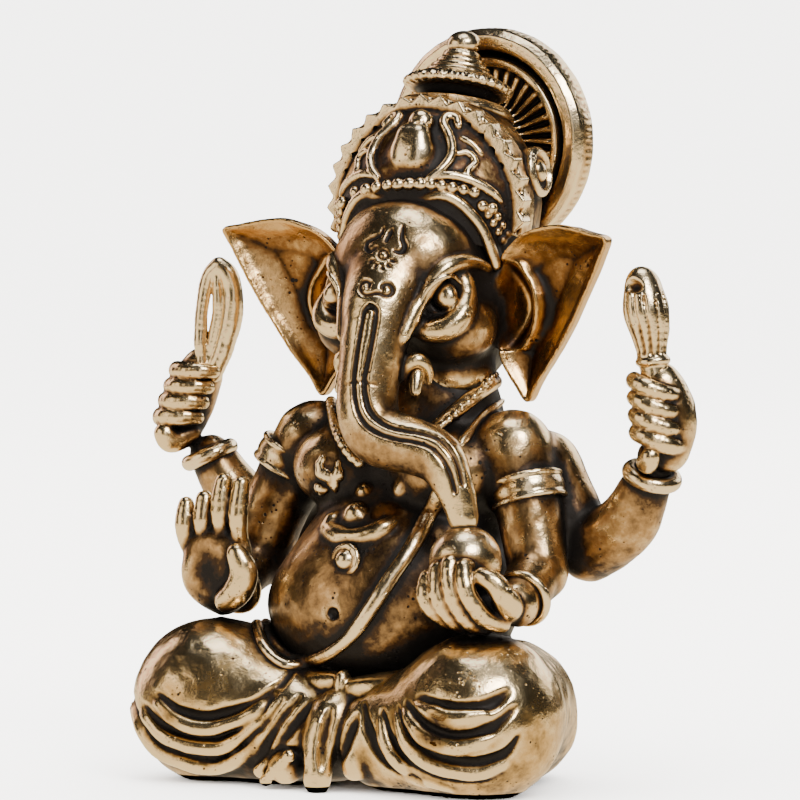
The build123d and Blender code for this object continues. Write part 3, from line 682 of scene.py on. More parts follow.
def add_fist(field, name, side, centre, shaft):
    """A fist whose four fingers close round a shaft, from the outside forwards and in."""
    up, front = Vector(shaft).normalized(), Vector((0, -1, 0))
    out = up.cross(front).normalized() * -1
    if out.x * side < 0:
        out = -out

    def at(outward, forward, along):
        return tuple(Vector(centre) + out * outward + front * forward + up * along)

    palm = [at(0.3, -0.3, -2.3), at(0.5, -0.5, 0), at(0.2, -0.3, 2.2)]
    field.add(name, cord(palm, [1.35, 1.65, 1.3], 8), 0.4)
    for i in range(4):
        height = 2.15 - 1.12 * i
        finger = [
            at(1.3, 0.1, height - 0.75),
            at(1.15, 1.05, height - 0.6),
            at(0.2, 1.7, height - 0.1),
            at(-0.8, 1.45, height + 0.3),
            at(-1.25, 0.7, height + 0.4),
        ]
        field.add(name, cord(finger, [0.58, 0.62, 0.62, 0.58, 0.5], 12), 0.07)
    thumb = [at(-0.9, 0.2, -2.2), at(-0.4, 1.3, -2.9), at(0.1, 1.75, -2.5)]
    field.add(name, cord(thumb, [0.7, 0.72, 0.66], 8), 0.1)


def add_rear_arms(field):
    line = [(8.6, 1.5, 20.8), (11.7, 1.8, 15.4), (14.7, 1.4, 17.2), (17.0, 0.8, 20.4)]
    fists = ((LEFT, (18.1, 0.0, 24.4), (-0.08, 0, 1)), (RIGHT, (-18.0, 0.0, 24.3), (0.42, 0, 1)))
    for side, fist, shaft in fists:
        prefix = "rear_" + side_name(side)
        shoulder, elbow, bulge, wrist = mirrored(line, side)
        field.add(prefix + "_upper_arm", bone(shoulder, 2.3, elbow, 1.95), 0.7)
        field.add(prefix + "_forearm", cord([elbow, bulge, wrist], [1.95, 1.85, 1.4], 10), 0.5)
        add_fist(field, prefix + "_hand", side, fist, shaft)


def sculpt_body(step):
    field = Field((-21.4, -13.6, -0.5), (21.4, 8.6, 28.9), step)
    add_torso(field)
    add_legs(field)
    add_front_arms(field)
    add_rear_arms(field)
    field.roughen(2.4, 0.1, 3)
    field.roughen(0.7, 0.035, 4)
    field.cut_below(0.0)
    return field


def matching(field):
    """An empty field on the same grid."""
    high = field.low + (np.array(field.grid.shape) - 1) * field.step
    return Field(field.low, high, field.step / COARSE)


def add_necklace_beads(trim, line, spread, size, spacing):
    """Two strings of beads spread apart either side of a line, or one along it if spread is 0."""
    towards_viewer = Vector((-0.5, -0.85, 0.1))
    line = np.array(line)
    lengths = np.concatenate([[0], np.cumsum(np.linalg.norm(np.diff(line, axis=0), axis=1))])
    for along in np.arange(0, lengths[-1], spacing):
        i = min(int(np.searchsorted(lengths, along, "right")) - 1, len(line) - 2)
        t = (along - lengths[i]) / (lengths[i + 1] - lengths[i] + 1e-6)
        spot = Vector(line[i] + (line[i + 1] - line[i]) * t)
        across = Vector(line[i + 1] - line[i]).normalized().cross(towards_viewer).normalized()
        for shift in (-spread, spread) if spread else (0,):
            trim.add("necklace_beads", ball(tuple(spot + across * shift), size), 0.06)


def sculpt_body_trim(body):
    """The crisp things on the body: thread, bands, beads and the sweet."""
    trim = matching(body)
    for shift in (-0.33, 0.33):
        route = [(u + shift * 0.75, v + shift * 0.6) for u, v in THREAD]
        trim.add("sacred_thread", bars(laid(body, route, 0.05), 0.4), 0.12)
    boss = Vector(spot_on(body, -5.0, 14.4))
    trim.add("navel", ball(tuple(boss + Vector((0, 0.2, 0))), 0.72), 0.1)
    trim.add("navel", hoop(tuple(boss + Vector((0, 0.1, 0))), (-0.1, -1, 0.2), 0.95, 0.22), 0.2)
    left_band = ("left_armband", (8.9, -1.3, 19.3), (1.1, -0.4, -3.2))
    right_band = ("right_armband", (-9.2, -1.25, 20.6), (-1.6, -0.5, -3.2))
    for name, centre, axis in (left_band, right_band):
        middle, along = vec(centre), vec(Vector(axis).normalized())
        trim.add(name, hoop(middle, axis, 2.15, 0.36, 1.9), 0.1)
        for shift in (-0.72, 0.72):
            trim.add(name, hoop(middle + along * shift, axis, 2.36, 0.2), 0.1)
    trim.add("left_bracelet", hoop((11.2, -5.6, 12.75), (0.1, -1, -0.3), 1.6, 0.36), 0.1)
    trim.add("right_bracelet", hoop((-11.5, -5.0, 12.5), (0, -1, -0.4), 1.7, 0.4), 0.1)
    for side in (LEFT, RIGHT):
        spot, axis = mirrored([(17.1, 0.75, 20.5), (0.35, -0.15, 0.9)], side)
        trim.add("rear_" + side_name(side) + "_bracelet", hoop(spot, axis, 1.45, 0.55), 0.1)
    trim.add("modak", ball((8.5, -8.3, 15.2), 2.35), 0.1)
    # The necklace: beads in two strings on a band to its left, and one string to its right
    band = laid(body, [(5.4, 26.4), (4.1, 25.6), (2.8, 24.6), (1.6, 23.6), (0.8, 22.8)], 0.05)
    trim.add("necklace_band", bars(band, 0.5), 0.1)
    front_of_band = Vector((0.2, -0.35, 0.1))
    add_necklace_beads(trim, [tuple(Vector(p) + front_of_band) for p in band], 0.4, 0.27, 0.56)
    edge = laid(body, [(5.6, 25.0), (4.2, 23.9), (3.0, 22.5), (2.5, 21.9)], -0.05)
    trim.add("necklace_band", bars(edge, 0.34, 0.2), 0.1)
    rope = laid(body, [(-6.0, 25.0), (-5.8, 23.8), (-5.4, 22.5), (-4.7, 21.3), (-3.9, 20.6)], 0.1)
    add_necklace_beads(trim, rope, 0.0, 0.4, 0.58)
    rng = np.random.default_rng(11)
    for _ in range(26):
        across, up = rng.uniform(-6.7, -5.1), rng.uniform(18.8, 21.0)
        trim.add("pendant", ball(spot_on(body, across, up, -0.1), rng.uniform(0.24, 0.4)), 0.15)
    trim.cut_below(0.0)
    return trim


def sculpt_emblems(step):
    """The looped noose and the lotus bud, above the rear hands."""
    field = Field((-19.6, -2.8, 24.5), (20.4, 3.2, 35.0), step)
    outer = [(-16.9, -0.4, 26.0), (-17.0, -0.5, 28.4), (-16.9, -0.4, 30.6), (-16.6, -0.2, 32.4)]
    top = (-15.9, 0.1, 33.2)
    inner = [(-15.2, 0.3, 32.4), (-15.0, 0.4, 30.6), (-15.4, 0.3, 28.4), (-16.3, 0, 26.0)]
    middle = [(-15.95, -0.1, 32.5), (-15.9, 0.0, 30.4), (-16.2, -0.1, 28.5), (-16.6, -0.2, 26.4)]
    field.add("noose", cord(outer + [top], [0.45, 0.42, 0.42, 0.45, 0.55], 22), 0.08)
    field.add("noose", cord([top] + inner, [0.55, 0.62, 0.68, 0.68, 0.6], 22), 0.08)
    field.add("noose", cord(middle, [0.3, 0.38, 0.38, 0.3], 20), 0.08)
    bud = [  # x, y, z, radius
        (17.9, 0, 25.4, 0.95),
        (17.7, 0, 27.4, 0.85),
        (17.5, 0, 28.6, 0.95),
        (17.25, 0.1, 30.2, 1.3),
        (17.0, 0.1, 31.4, 1.45),
        (16.75, 0.2, 32.6, 1.2),
        (16.6, 0.2, 33.2, 0.85),
    ]
    field.add("lotus_bud", cord([row[:3] for row in bud], [row[3] for row in bud], 26), 0.15)
    field.add("lotus_bud", hoop((17.6, 0, 28.0), (-0.1, 0, 1), 0.85, 0.28), 0.1)
    for angle in range(-150, 181, 30):
        c, s = cos(radians(angle)), sin(radians(angle))
        groove = [(x + (r + 0.05) * c, y - (r + 0.05) * s, z) for x, y, z, r in bud[2:6]]
        field.cut(cord(groove, [0.16, 0.1, 0.08, 0.05], 12), 0.12)
    field.cut(egg((16.6, -1.0, 32.9), (0.75, 0.5, 0.45), (0, 10, 0)), 0.2)
    field.roughen(0.9, 0.05, 12)
    return field


# --- The head ---

HEAD_MIDDLE = 0.138  # where the neck's axis stands across the head's view
TRUNK = [  # x, y, z, radius
    (0, -1.4, 34.6, 3.6),
    (0, -4.2, 33.2, 3.0),
    (0, -6.1, 31.4, 2.4),
    (0, -7.1, 29.6, 2.08),
    (-0.05, -7.8, 27.7, 1.88),
    (-0.1, -8.2, 25.4, 1.85),
    (0.2, -8.5, 24.0, 1.82),
    (1.2, -8.7, 23.0, 1.78),
    (2.7, -8.7, 22.65, 1.7),
    (4.2, -8.7, 22.3, 1.58),
    (5.5, -8.8, 21.7, 1.45),
    (6.2, -8.9, 20.7, 1.22),
    (6.75, -8.9, 19.4, 1.02),
    (7.1, -8.9, 18.2, 0.8),
    (7.2, -8.9, 17.7, 0.7),
]
# The ear's outline over X and Z: up its root, along the top to the corner, and down the outer edge
EAR_EDGE = [(5.3, 31.5), (5.8, 34.1), (6.4, 35.0), (7.3, 35.8), (8.3, 36.25), (9.8, 36.6)]
EAR_EDGE += [(11.3, 36.5), (12.7, 36.2), (13.9, 35.8), (13.3, 34.3), (12.4, 32.5), (11.1, 30.1)]
EAR_EDGE += [(9.8, 28.1), (8.4, 26.2), (7.5, 24.9), (6.6, 26.0), (5.8, 27.3), (5.3, 29.0)]
# Routes over the head, as (across, up) seen from HEAD_VIEW
LEFT_GROOVE = [(-3.35, 30.95), (-3.75, 30.6), (-4.05, 29.05), (-4.31, 27.3), (-4.44, 25.76)]
LEFT_GROOVE += [(-4.24, 24.3), (-3.65, 23.26), (-2.73, 22.66), (-1.61, 22.34), (-0.43, 22.15)]
LEFT_GROOVE += [(0.6, 21.8), (1.3, 21.1), (1.85, 20.1), (2.15, 18.9)]
RIGHT_GROOVE = [(-3.35, 30.95), (-2.95, 30.6), (-3.13, 29.05), (-3.45, 27.5), (-3.72, 26.1)]
RIGHT_GROOVE += [(-3.59, 24.8), (-3.19, 23.9), (-2.34, 23.25), (-1.28, 22.93), (-0.1, 22.75)]
RIGHT_GROOVE += [(1.02, 22.4), (1.81, 21.7), (2.34, 20.7), (2.66, 19.4)]
BROW = [(4.4, 33.4), (3.3, 33.85), (2.0, 33.65), (1.22, 33.1), (0.56, 32.3)]
BROW += [(0.03, 31.5), (-0.5, 30.6), (-0.89, 29.7), (-1.25, 28.8)]
CHEEK = [(-0.5, 29.9), (0.3, 29.4), (1.5, 29.45), (2.5, 30.2), (2.85, 31.5), (2.7, 32.6)]
TRIDENT = [
    [(-2.47, 36.1), (-2.73, 35.56), (-3.45, 35.2), (-3.65, 34.75), (-3.35, 34.5), (-2.95, 34.8)],
    [(-1.94, 35.95), (-2.14, 35.56), (-2.34, 35.16)],
    [(-1.22, 36.2), (-1.28, 35.4), (-1.09, 34.85), (-1.35, 34.45), (-1.81, 34.55)],
]
SCROLL = [(-3.5, 32.15), (-3.4, 32.45), (-3.8, 32.55), (-4.05, 32.1), (-3.75, 31.7), (-3.2, 31.75)]
SCROLL += [(-2.93, 31.8), (-2.6, 31.7), (-2.15, 31.6), (-1.85, 31.95), (-2.1, 32.35), (-2.5, 32.3)]
SCROLL += [(-2.55, 32.0)]


def ear(side):
    """A dished, sail-shaped ear with a thick lip all round and a fold beside its root."""
    edge = smooth_line(EAR_EDGE + EAR_EDGE[:1], 90)[:-1].tolist()

    def distance(x, y, z):
        u = x * side
        rim = outline_gap(edge, u, z)
        deep = np.clip(-rim / 2.2, 0, 1)
        middle = -0.5 + 1.3 * deep**0.8 + 0.09 * (35.5 - z) - 0.09 * (u - 8.5)
        t = np.clip((34.2 - z) / 6.0, 0, 1)
        bow = np.maximum(np.sin(pi * t), 0)
        fold = 6.9 + 1.3 * bow
        ridge = 1.1 * np.exp(-(((u - fold) / 0.5) ** 2)) * np.sqrt(bow)
        hollow = 0.9 * np.exp(-(((u - fold + 1.2) / 0.75) ** 2)) * np.sqrt(bow)
        lip = 0.3 * np.exp(-((rim / 0.45) ** 2))
        lip = lip + 0.25 * np.exp(-(((z - 35.9) / 0.5) ** 2)) * np.clip((u - 6) / 3, 0, 1)
        front = middle - 0.5 - lip - ridge + hollow - y
        back = y - (middle + 0.55)
        thick = np.maximum(front, back)
        outside = np.maximum(rim + 0.3, 0) ** 2 + np.maximum(thick + 0.3, 0) ** 2
        return (np.sqrt(outside) + np.minimum(np.maximum(rim, thick) + 0.3, 0) - 0.3) * 0.85

    ends = sorted((4.9 * side, 14.4 * side))
    return Shape(distance, (ends[0], -3.0, 24.4), (ends[1], 3.4, 37.2))


def on_head(field, route, lift=0.0, count=None):
    return laid(field, route, lift, count, HEAD_VIEW, HEAD_MIDDLE)


def spot_on_head(field, across, up, lift=0.0):
    return spot_on(field, across, up, lift, view=HEAD_VIEW, middle=HEAD_MIDDLE)


def sculpt_head(step):
    field = Field((-14.8, -11.4, 16.0), (14.8, 8.4, 38.6), step)
    field.add("head", egg((0, 1.5, 31.6), (6.0, 6.2, 6.8)), 0.5)
    field.add("head", egg((0, -2.5, 33.7), (4.9, 4.3, 4.6)), 0.9)
    for side in (LEFT, RIGHT):
        field.add(side_name(side) + "_ear", ear(side), 0.4)
        field.add("head", egg((3.3 * side, -2.5, 29.9), (2.9, 3.1, 2.5)), 0.8)
        field.add("head", egg((3.0 * side, -1.0, 26.8), (2.4, 2.6, 2.0)), 0.9)
    line = smooth_line(TRUNK, 44)
    field.add("trunk", [bone(a[:3], a[3], b[:3], b[3]) for a, b in zip(line, line[1:])], 0.45)
    # The eye's hollow, then the brow that runs over it and down the trunk's side
    eye = spot_on_head(field, 1.35, 31.75)
    for side in (LEFT, RIGHT):
        spot = mirrored([eye], side)[0]
        field.cut(egg(spot, (1.3, 0.6, 1.0), (0, 25 * side, -20 * side)), 0.5)
    brow = on_head(field, BROW)
    cheek = on_head(field, CHEEK, -0.05)
    lip = [(1.75, -6.7, 26.7), (2.1, -6.7, 27.6), (2.75, -6.4, 27.9), (3.1, -5.9, 27.3), (3.0, -5.5, 26.4)]
    for side in (LEFT, RIGHT):
        field.add("head", bars(mirrored(brow, side), 0.34, 0.2), 0.35)
        field.add("head", bars(mirrored(cheek, side), 0.16, 0.05), 0.9)
        # The mouth's corner and the lip round the tusk
        field.cut(egg((2.9 * side, -5.9, 26.4), (1.0, 1.5, 1.5)), 0.5)
        field.add("head", cord(mirrored(lip, side), [0.3, 0.42, 0.42, 0.36, 0.25]), 0.25)
    field.roughen(2.0, 0.05, 5)
    field.roughen(0.6, 0.02, 6)
    # Lines cut in the trunk and the forehead
    for route in (LEFT_GROOVE, RIGHT_GROOVE):
        field.cut(bars(on_head(field, route, 0.0, 70), 0.17), 0.12)
    crease = on_head(field, [(-4.9, 25.9), (-3.9, 26.05), (-2.9, 25.8)], 0.02, 10)
    field.cut(bars(crease, 0.07), 0.08)
    for route in TRIDENT:
        field.cut(bars(on_head(field, route, 0.0, 24), 0.15, 0.09), 0.08)
    field.cut(bars(on_head(field, SCROLL, 0.0, 46), 0.14), 0.08)
    ring = [(-2.53 + 0.32 * cos(radians(a)), 34.3 + 0.3 * sin(radians(a))) for a in range(0, 361, 45)]
    field.cut(bars(on_head(field, ring, 0.0, 24), 0.1), 0.06)
    for angle in (-155, -123, -90, -57, -25):
        c, s = cos(radians(angle)), sin(radians(angle))
        tick = [(-2.6 + 0.62 * c, 34.2 + 0.6 * s), (-2.6 + 0.9 * c, 34.2 + 0.86 * s)]
        field.cut(bars(on_head(field, tick, 0.0, 4), 0.13), 0.06)
    return field


def sculpt_head_trim(head):
    """The eyes with their lids, and the tusks."""
    trim = matching(head)
    eye = spot_on_head(head, 1.4, 31.7, 0.45)
    upper_lid = [(-0.1, 31.2), (0.4, 32.1), (1.2, 32.75), (2.0, 32.9), (2.6, 32.4)]
    lower_lid = [(-0.1, 31.2), (0.4, 30.7), (1.1, 30.45), (1.9, 30.7), (2.5, 31.4)]
    lids = [on_head(head, route, -0.05, 16) for route in (upper_lid, lower_lid)]
    tusk = [(2.3, -5.6, 27.5), (2.6, -6.4, 26.9), (2.75, -6.9, 25.9)]
    for side in (LEFT, RIGHT):
        name = side_name(side)
        spot = mirrored([eye], side)[0]
        trim.add(name + "_eye", egg(spot, (1.25, 0.8, 0.95), (0, 25 * side, -28 * side)), 0.1)
        trim.add(name + "_eye", bars(mirrored(lids[0], side), 0.2, 0.1), 0.1)
        trim.add(name + "_eye", bars(mirrored(lids[1], side), 0.13, 0.07), 0.1)
        trim.add(name + "_tusk", cord(mirrored(tusk, side), [0.6, 0.5, 0.33]), 0.1)
    return trim


# --- The crown and halo ---

LEAN = radians(17)
CROWN_FOOT = Vector((0, 2.4, 36.0))
CROWN_AXIS = Vector((0, sin(LEAN), cos(LEAN)))
# The brim's height at each angle from the front
BRIM = [(0, 37.85), (12, 38.1), (24, 38.45), (34, 38.1), (43, 37.3), (51, 36.3), (58, 34.9), (62, 33.9)]
HORN = [(0.45, 39.3), (1.35, 40.0), (1.95, 40.9), (1.85, 42.0)]
HORN += [(1.45, 42.9), (1.7, 43.4), (2.25, 43.3), (2.4, 42.8)]
VINES = [
    [(2.2, 40.9), (3.0, 41.0), (3.5, 40.4), (3.0, 39.8), (3.1, 39.3), (3.7, 39.0)],
    [(0.55, 39.3), (1.9, 39.5), (3.4, 39.1), (4.6, 38.4), (5.2, 37.8)],
    [(2.6, 42.0), (3.3, 41.6), (3.9, 40.9)],
]


def up_crown(height):
    return CROWN_FOOT + CROWN_AXIS * height


def crown_turned(profile, flutes=None):
    return turned(CROWN_FOOT, CROWN_AXIS, profile, flutes)


def sculpt_crown(step):
    field = Field((-9.0, -4.8, 31.6), (9.0, 10.0, 50.2), step)
    dome = [(0, -2.0), (6.0, -2.0), (6.45, 0.6), (6.45, 2.4), (5.8, 4.8), (4.7, 6.6), (3.3, 8.0), (0, 8.4)]
    field.add("crown_dome", crown_turned(dome), 0.4)
    field.add("crown_dome", egg(up_crown(2.0) - Vector((0, 0.5, 0)), (6.7, 4.9, 5.0), (-17, 0, 0)), 0.8)
    field.roughen(0.8, 0.03, 8)
    teeth, sweep = 19, 214
    field.add("crown_arch", zigzag_band((0, 0.8, 37.7), 6.5, 0.26, 0.34, 0.6, teeth, sweep), 0.08)
    field.add("crown_arch", zigzag_band((0, 1.4, 37.7), 6.3, 0.0, 0.5, 0.8, teeth, sweep), 0.15)
    tier = [(0, 8.6), (2.3, 8.7), (2.7, 9.1), (3.5, 9.35), (3.65, 9.6), (3.45, 9.85)]
    tier += [(2.6, 10.3), (0, 10.5)]
    field.add("crown_tier", crown_turned(tier, (30, 0.07, 3.0, 4.5)), 0.1)
    ring = [(0, 7.0), (3.3, 7.0), (3.9, 7.4), (4.0, 7.8), (3.6, 8.3), (2.6, 8.5), (0, 8.6)]
    field.add("crown_ring", crown_turned(ring), 0.1)
    spire = [(0, 10.2)]
    for i in range(4):
        radius, height = 2.3 - 0.33 * i, 10.3 + 0.4 * i
        spire += [(radius, height), (radius, height + 0.24), (radius - 0.2, height + 0.34)]
    field.add("crown_spire", crown_turned(spire + [(0, 12.0)]), 0.08)
    field.add("crown_finial", egg(up_crown(12.6), (1.12, 1.12, 0.85)), 0.1)
    field.add("crown_finial", crown_turned([(0, 11.7), (1.2, 11.7), (1.25, 11.95), (0, 12.1)]), 0.1)
    brim = []
    for angle, height in [(-a, h) for a, h in reversed(BRIM[1:])] + BRIM:
        a = radians(angle)
        brim.append((6.3 * sin(a), NECK_Y - 4.75 * cos(a), height))
    field.add("crown_brim", cord(brim, 0.38, 60), 0.12)
    for back, inward, radius in ((0.5, 0.97, 0.42), (1.0, 0.93, 0.5)):
        behind = [(x * inward, y + back, z + 0.12 * back) for x, y, z in brim]
        field.add("crown_brim", cord(behind, radius, 60), 0.2)
    # The stone, its neck and the horns round it
    stone = Vector(spot_on_head(field, -0.65, 41.2))
    field.add("crown_gem", slab(stone + Vector((0, 0.2, 0.1)), (1.15, 0.9, 1.6), (-12, 0, 0), 0.8), 0.1)
    field.add("crown_gem", egg(stone + Vector((0, 0.1, -0.3)), (1.55, 1.05, 1.5), (-12, 0, 0)), 0.5)
    neck = stone + Vector((0.2, 1.0, 1.9))
    field.add("crown_gem", egg(neck, (0.8, 0.7, 0.7)), 0.5)
    rng = np.random.default_rng(21)
    for _ in range(26):
        a, b = rng.uniform(-1.2, 1.2), rng.uniform(-0.9, 0.9)
        spot = neck + Vector((0.85 * sin(a) * cos(b), -0.8 * cos(a) * cos(b), 0.75 * sin(b)))
        field.cut(ball(spot, 0.1), 0.05)
    horn = on_head(field, HORN, 0.12, 34)
    vines = [on_head(field, route, 0.06, 26) for route in VINES]
    for side in (LEFT, RIGHT):
        name = side_name(side)
        field.add("gem_scrolls", bars(mirrored(horn, side), 0.3, 0.24), 0.1)
        for line, radius in zip(vines, (0.22, 0.3, 0.16)):
            field.add("crown_vines", bars(mirrored(line, side), radius, 0.12), 0.1)
        disc = (6.6 * side, 3.5, 39.8)
        profile = [(0, -1.4), (1.6, -1.4), (1.68, 0.2), (1.35, 0.5), (1.1, 0.12), (0, 0.12)]
        field.add(name + "_rosette", turned(disc, (side, 0.05, 0.15), profile), 0.1)
        field.add(name + "_rosette", egg(disc, (0.6, 0.75, 0.8)), 0.1)
        for column in range(2):
            for i in range(5 - column):
                across, up = 3.95 + 0.62 * column + 0.33 * i, 37.5 - 0.55 * i - 0.15 * column
                spot = spot_on_head(field, across, up, -0.05)
                field.add("crown_side_beads", ball(mirrored([spot], side)[0], 0.34 if i else 0.42), 0.06)
    for i in range(12):
        across = -4.3 + 0.7 * i
        spot = spot_on_head(field, across, 38.95 - 0.035 * (across + 0.65) ** 2)
        field.add("crown_beads", ball(spot, 0.46 if i in (4, 5, 6) else 0.4), 0.08)
    return field


def sculpt_halo(step):
    """The dished disc behind the crown, with a ring and a thick rim round it."""
    field = Field((-7.8, 6.4, 33.8), (7.8, 10.9, 49.4), step)
    height, rim_radius = 41.6, 7.45
    centre, back = (0, 0, height), (0, 1, 0)
    dish = [(0, 7.4), (1.9, 7.6), (2.4, 8.9), (4.9, 8.7), (5.1, 9.8), (0, 9.9)]
    field.add("halo_disc", turned(centre, back, dish, (34, 0.26, 1.9, 5.0)), 0.1)
    ring = [(4.9, 8.3), (5.1, 8.0), (5.45, 7.95), (5.65, 8.4), (5.65, 9.9), (4.9, 9.9)]
    field.add("halo_inner_ring", turned(centre, back, ring), 0.08)
    rim = [(5.7, 9.0), (6.0, 8.0), (6.35, 7.7), (6.95, 7.7), (7.35, 8.1), (rim_radius, 8.8)]
    rim += [(7.4, 9.6), (7.0, 10.0), (5.7, 10.0)]
    field.add("halo_rim", turned(centre, back, rim), 0.08)
    notches, reach = 96, rim_radius + 0.03
    for i in range(notches):
        a = 2 * pi * i / notches
        ends = [(reach * cos(a), y, height + reach * sin(a)) for y in (8.7, 9.5)]
        field.cut(bars(ends, 0.09), 0.06)
    field.roughen(0.9, 0.03, 14)
    return field


# --- Brass ---


BLOTCH_SCALE, HAMMER_SCALE, PIT_SCALE, GRAIN_SCALE = 230, 900, 2600, 2600  # to a metre
GROOVE_DEPTH, HOLLOW_DEPTH = 5.5, 2.6  # how fast the brass darkens going in: patina in hollows, and the painted shade that hollow also holds
PIT_DARKNESS = 0.5
RELIEF_DEPTH = 0.00012  # metres
# The blackest colour: patina deep in the hollows, and painted shade where neighbouring parts darken the
# surface
PATINA_AND_SHADE_BLACK = (0.01, 0.008, 0.007)


def link(tree, source, output, target, entry):
    tree.links.new(source.outputs[output], target.inputs[entry])


def ramp_node(tree, stops):
    node = tree.nodes.new("ShaderNodeValToRGB")
    ramp = node.color_ramp
    while len(ramp.elements) < len(stops):
        ramp.elements.new(0.5)
    for element, (place, colour) in zip(ramp.elements, stops):
        element.position = place
        element.color = (*colour, 1)
    return node


def noise_node(tree, coords, scale, detail, rough):
    node = tree.nodes.new("ShaderNodeTexNoise")
    node.inputs["Scale"].default_value = scale
    node.inputs["Detail"].default_value = detail
    node.inputs["Roughness"].default_value = rough
    link(tree, coords, "Object", node, "Vector")
    return node


def math_node(tree, operation, *values):
    node = tree.nodes.new("ShaderNodeMath")
    node.operation = operation
    for i, value in enumerate(values):
        if isinstance(value, tuple):
            tree.links.new(value[0].outputs[value[1]], node.inputs[i])
        else:
            node.inputs[i].default_value = value
    return node


def grey(value):
    return (value, value, value)


def make_brass(name, bright, body, deep, worn):
    """Antiqued brass: bright where proud, dark where hollow, with casting pits all over.

    bright, body and deep are its colours from the rubbed high spots down to the patina. The value that
    picks among them also holds painted shade under neighbouring parts and a painted top light on surfaces
    facing up. worn shifts the whole piece towards the one or the other.
    """
    material = bpy.data.materials.new(name)
    material.use_nodes = True
    tree = material.node_tree
    shader = tree.nodes["Principled BSDF"]
    coords = tree.nodes.new("ShaderNodeTexCoord")
    groove, hollow = tree.nodes.new("ShaderNodeAttribute"), tree.nodes.new("ShaderNodeAttribute")
    groove.attribute_name, hollow.attribute_name = "groove", "hollow"
    blotch = noise_node(tree, coords, BLOTCH_SCALE, 4, 0.6)
    grain = noise_node(tree, coords, GRAIN_SCALE, 4, 0.65)
    fine = math_node(tree, "MULTIPLY", (groove, "Fac"), GROOVE_DEPTH)
    wide = math_node(tree, "MULTIPLY", (hollow, "Fac"), HOLLOW_DEPTH)
    height = math_node(tree, "ADD", (fine, 0), (wide, 0))
    stain = math_node(tree, "MULTIPLY_ADD", (blotch, "Fac"), 0.8, worn - 0.4)
    height = math_node(tree, "ADD", (height, 0), (stain, 0))
    speck = math_node(tree, "MULTIPLY_ADD", (grain, "Fac"), 0.5, -0.25)
    height = math_node(tree, "ADD", (height, 0), (speck, 0))
    # Casting pits: small holes that keep their patina
    pits = tree.nodes.new("ShaderNodeTexVoronoi")
    pits.inputs["Scale"].default_value = PIT_SCALE
    link(tree, coords, "Object", pits, "Vector")
    pit_size = noise_node(tree, coords, 600, 2, 0.5)
    threshold = math_node(tree, "MULTIPLY_ADD", (pit_size, "Fac"), 1.1, -0.44)
    pit = math_node(tree, "SUBTRACT", (threshold, 0), (pits, "Distance"))
    pit = math_node(tree, "MULTIPLY", (pit, 0), 8.0)
    pit.use_clamp = True
    height = math_node(tree, "MULTIPLY_ADD", (pit, 0), -PIT_DARKNESS, (height, 0))
    # The ramp runs from black to bright over the sum above; through hollow it carries patina, painted shade
    # under neighbouring parts and a painted top light
    colour = ramp_node(tree, [(0.0, PATINA_AND_SHADE_BLACK), (0.2, deep), (0.5, body), (0.85, bright)])
    link(tree, height, 0, colour, "Fac")
    link(tree, colour, "Color", shader, "Base Color")
    rough = ramp_node(tree, [(0.0, grey(0.5)), (0.3, grey(0.34)), (0.75, grey(0.24))])
    link(tree, height, 0, rough, "Fac")
    link(tree, rough, "Color", shader, "Roughness")
    metal = ramp_node(tree, [(0.0, grey(0.8)), (0.2, grey(1.0))])
    link(tree, height, 0, metal, "Fac")
    link(tree, metal, "Color", shader, "Metallic")
    # Relief: grain, pits and slow hammering
    lumps = noise_node(tree, coords, HAMMER_SCALE, 3, 0.6)
    relief = math_node(tree, "MULTIPLY_ADD", (pit, 0), -1.0, (lumps, "Fac"))
    relief = math_node(tree, "MULTIPLY_ADD", (grain, "Fac"), 0.35, (relief, 0))
    bump = tree.nodes.new("ShaderNodeBump")
    bump.inputs["Strength"].default_value = 0.45
    bump.inputs["Distance"].default_value = RELIEF_DEPTH
    link(tree, relief, 0, bump, "Height")
    link(tree, bump, "Normal", shader, "Normal")
    return material


BRIGHT, BRONZE = (0.82, 0.63, 0.36), (0.055, 0.033, 0.02)
skin = make_brass("brass_body", BRIGHT, (0.4, 0.245, 0.11), BRONZE, 0.18)
cloth = make_brass("brass_cloth", BRIGHT, (0.54, 0.35, 0.14), BRONZE, 0.38)
ear_brass = make_brass("brass_ears", (0.6, 0.38, 0.16), (0.2, 0.095, 0.03), (0.04, 0.02, 0.01), 0.22)
fancy = make_brass("brass_ornament", (0.88, 0.7, 0.44), (0.5, 0.31, 0.13), (0.07, 0.035, 0.018), 0.26)
CLOTH_PARTS = ("seat", "left_leg", "right_leg", "front_pleat", "waist_sash")


# --- The pieces ---

BODY_STEP, HEAD_STEP, CROWN_STEP = 0.14, 0.115, 0.095  # grid steps

body = sculpt_body(BODY_STEP)
body_trim = sculpt_body_trim(body)
head = sculpt_head(HEAD_STEP)
head_trim = sculpt_head_trim(head)
crown = sculpt_crown(CROWN_STEP)
halo = sculpt_halo(CROWN_STEP)
# Neighbouring parts are brought onto each grid so that they darken the surface near them as painted shadow:
# the trunk and chin on the body, the crown on the head and on the halo, and the head under the crown's brim
head_over_body = brought(head, body, HEAD_TURN)
body_brass = {None: skin, **{name: cloth for name in CLOTH_PARTS}}
head_brass = {None: skin, "left_ear": ear_brass, "right_ear": ear_brass}
cast(body, body_brass, (body_trim.grid, head_over_body))
cast(body_trim, {None: fancy}, (body.grid, head_over_body))
cast(sculpt_emblems(CROWN_STEP), {None: fancy})
crown_over_head = brought(crown, head)
cast(head, head_brass, (head_trim.grid, crown_over_head), HEAD_TURN)
cast(head_trim, {None: fancy}, (head.grid, crown_over_head), HEAD_TURN)
cast(crown, {None: fancy}, (brought(head, crown),), HEAD_TURN)
cast(halo, {None: fancy}, (brought(crown, halo, HEAD_TURN),))


# --- Floor, light and camera ---

SCALE = UNIT * 1000  # places below are in metres for a figure of FIGURE_HEIGHT millimetres
FLOOR_HALF = 2.0
FIELD_OF_VIEW = 5.025  # degrees


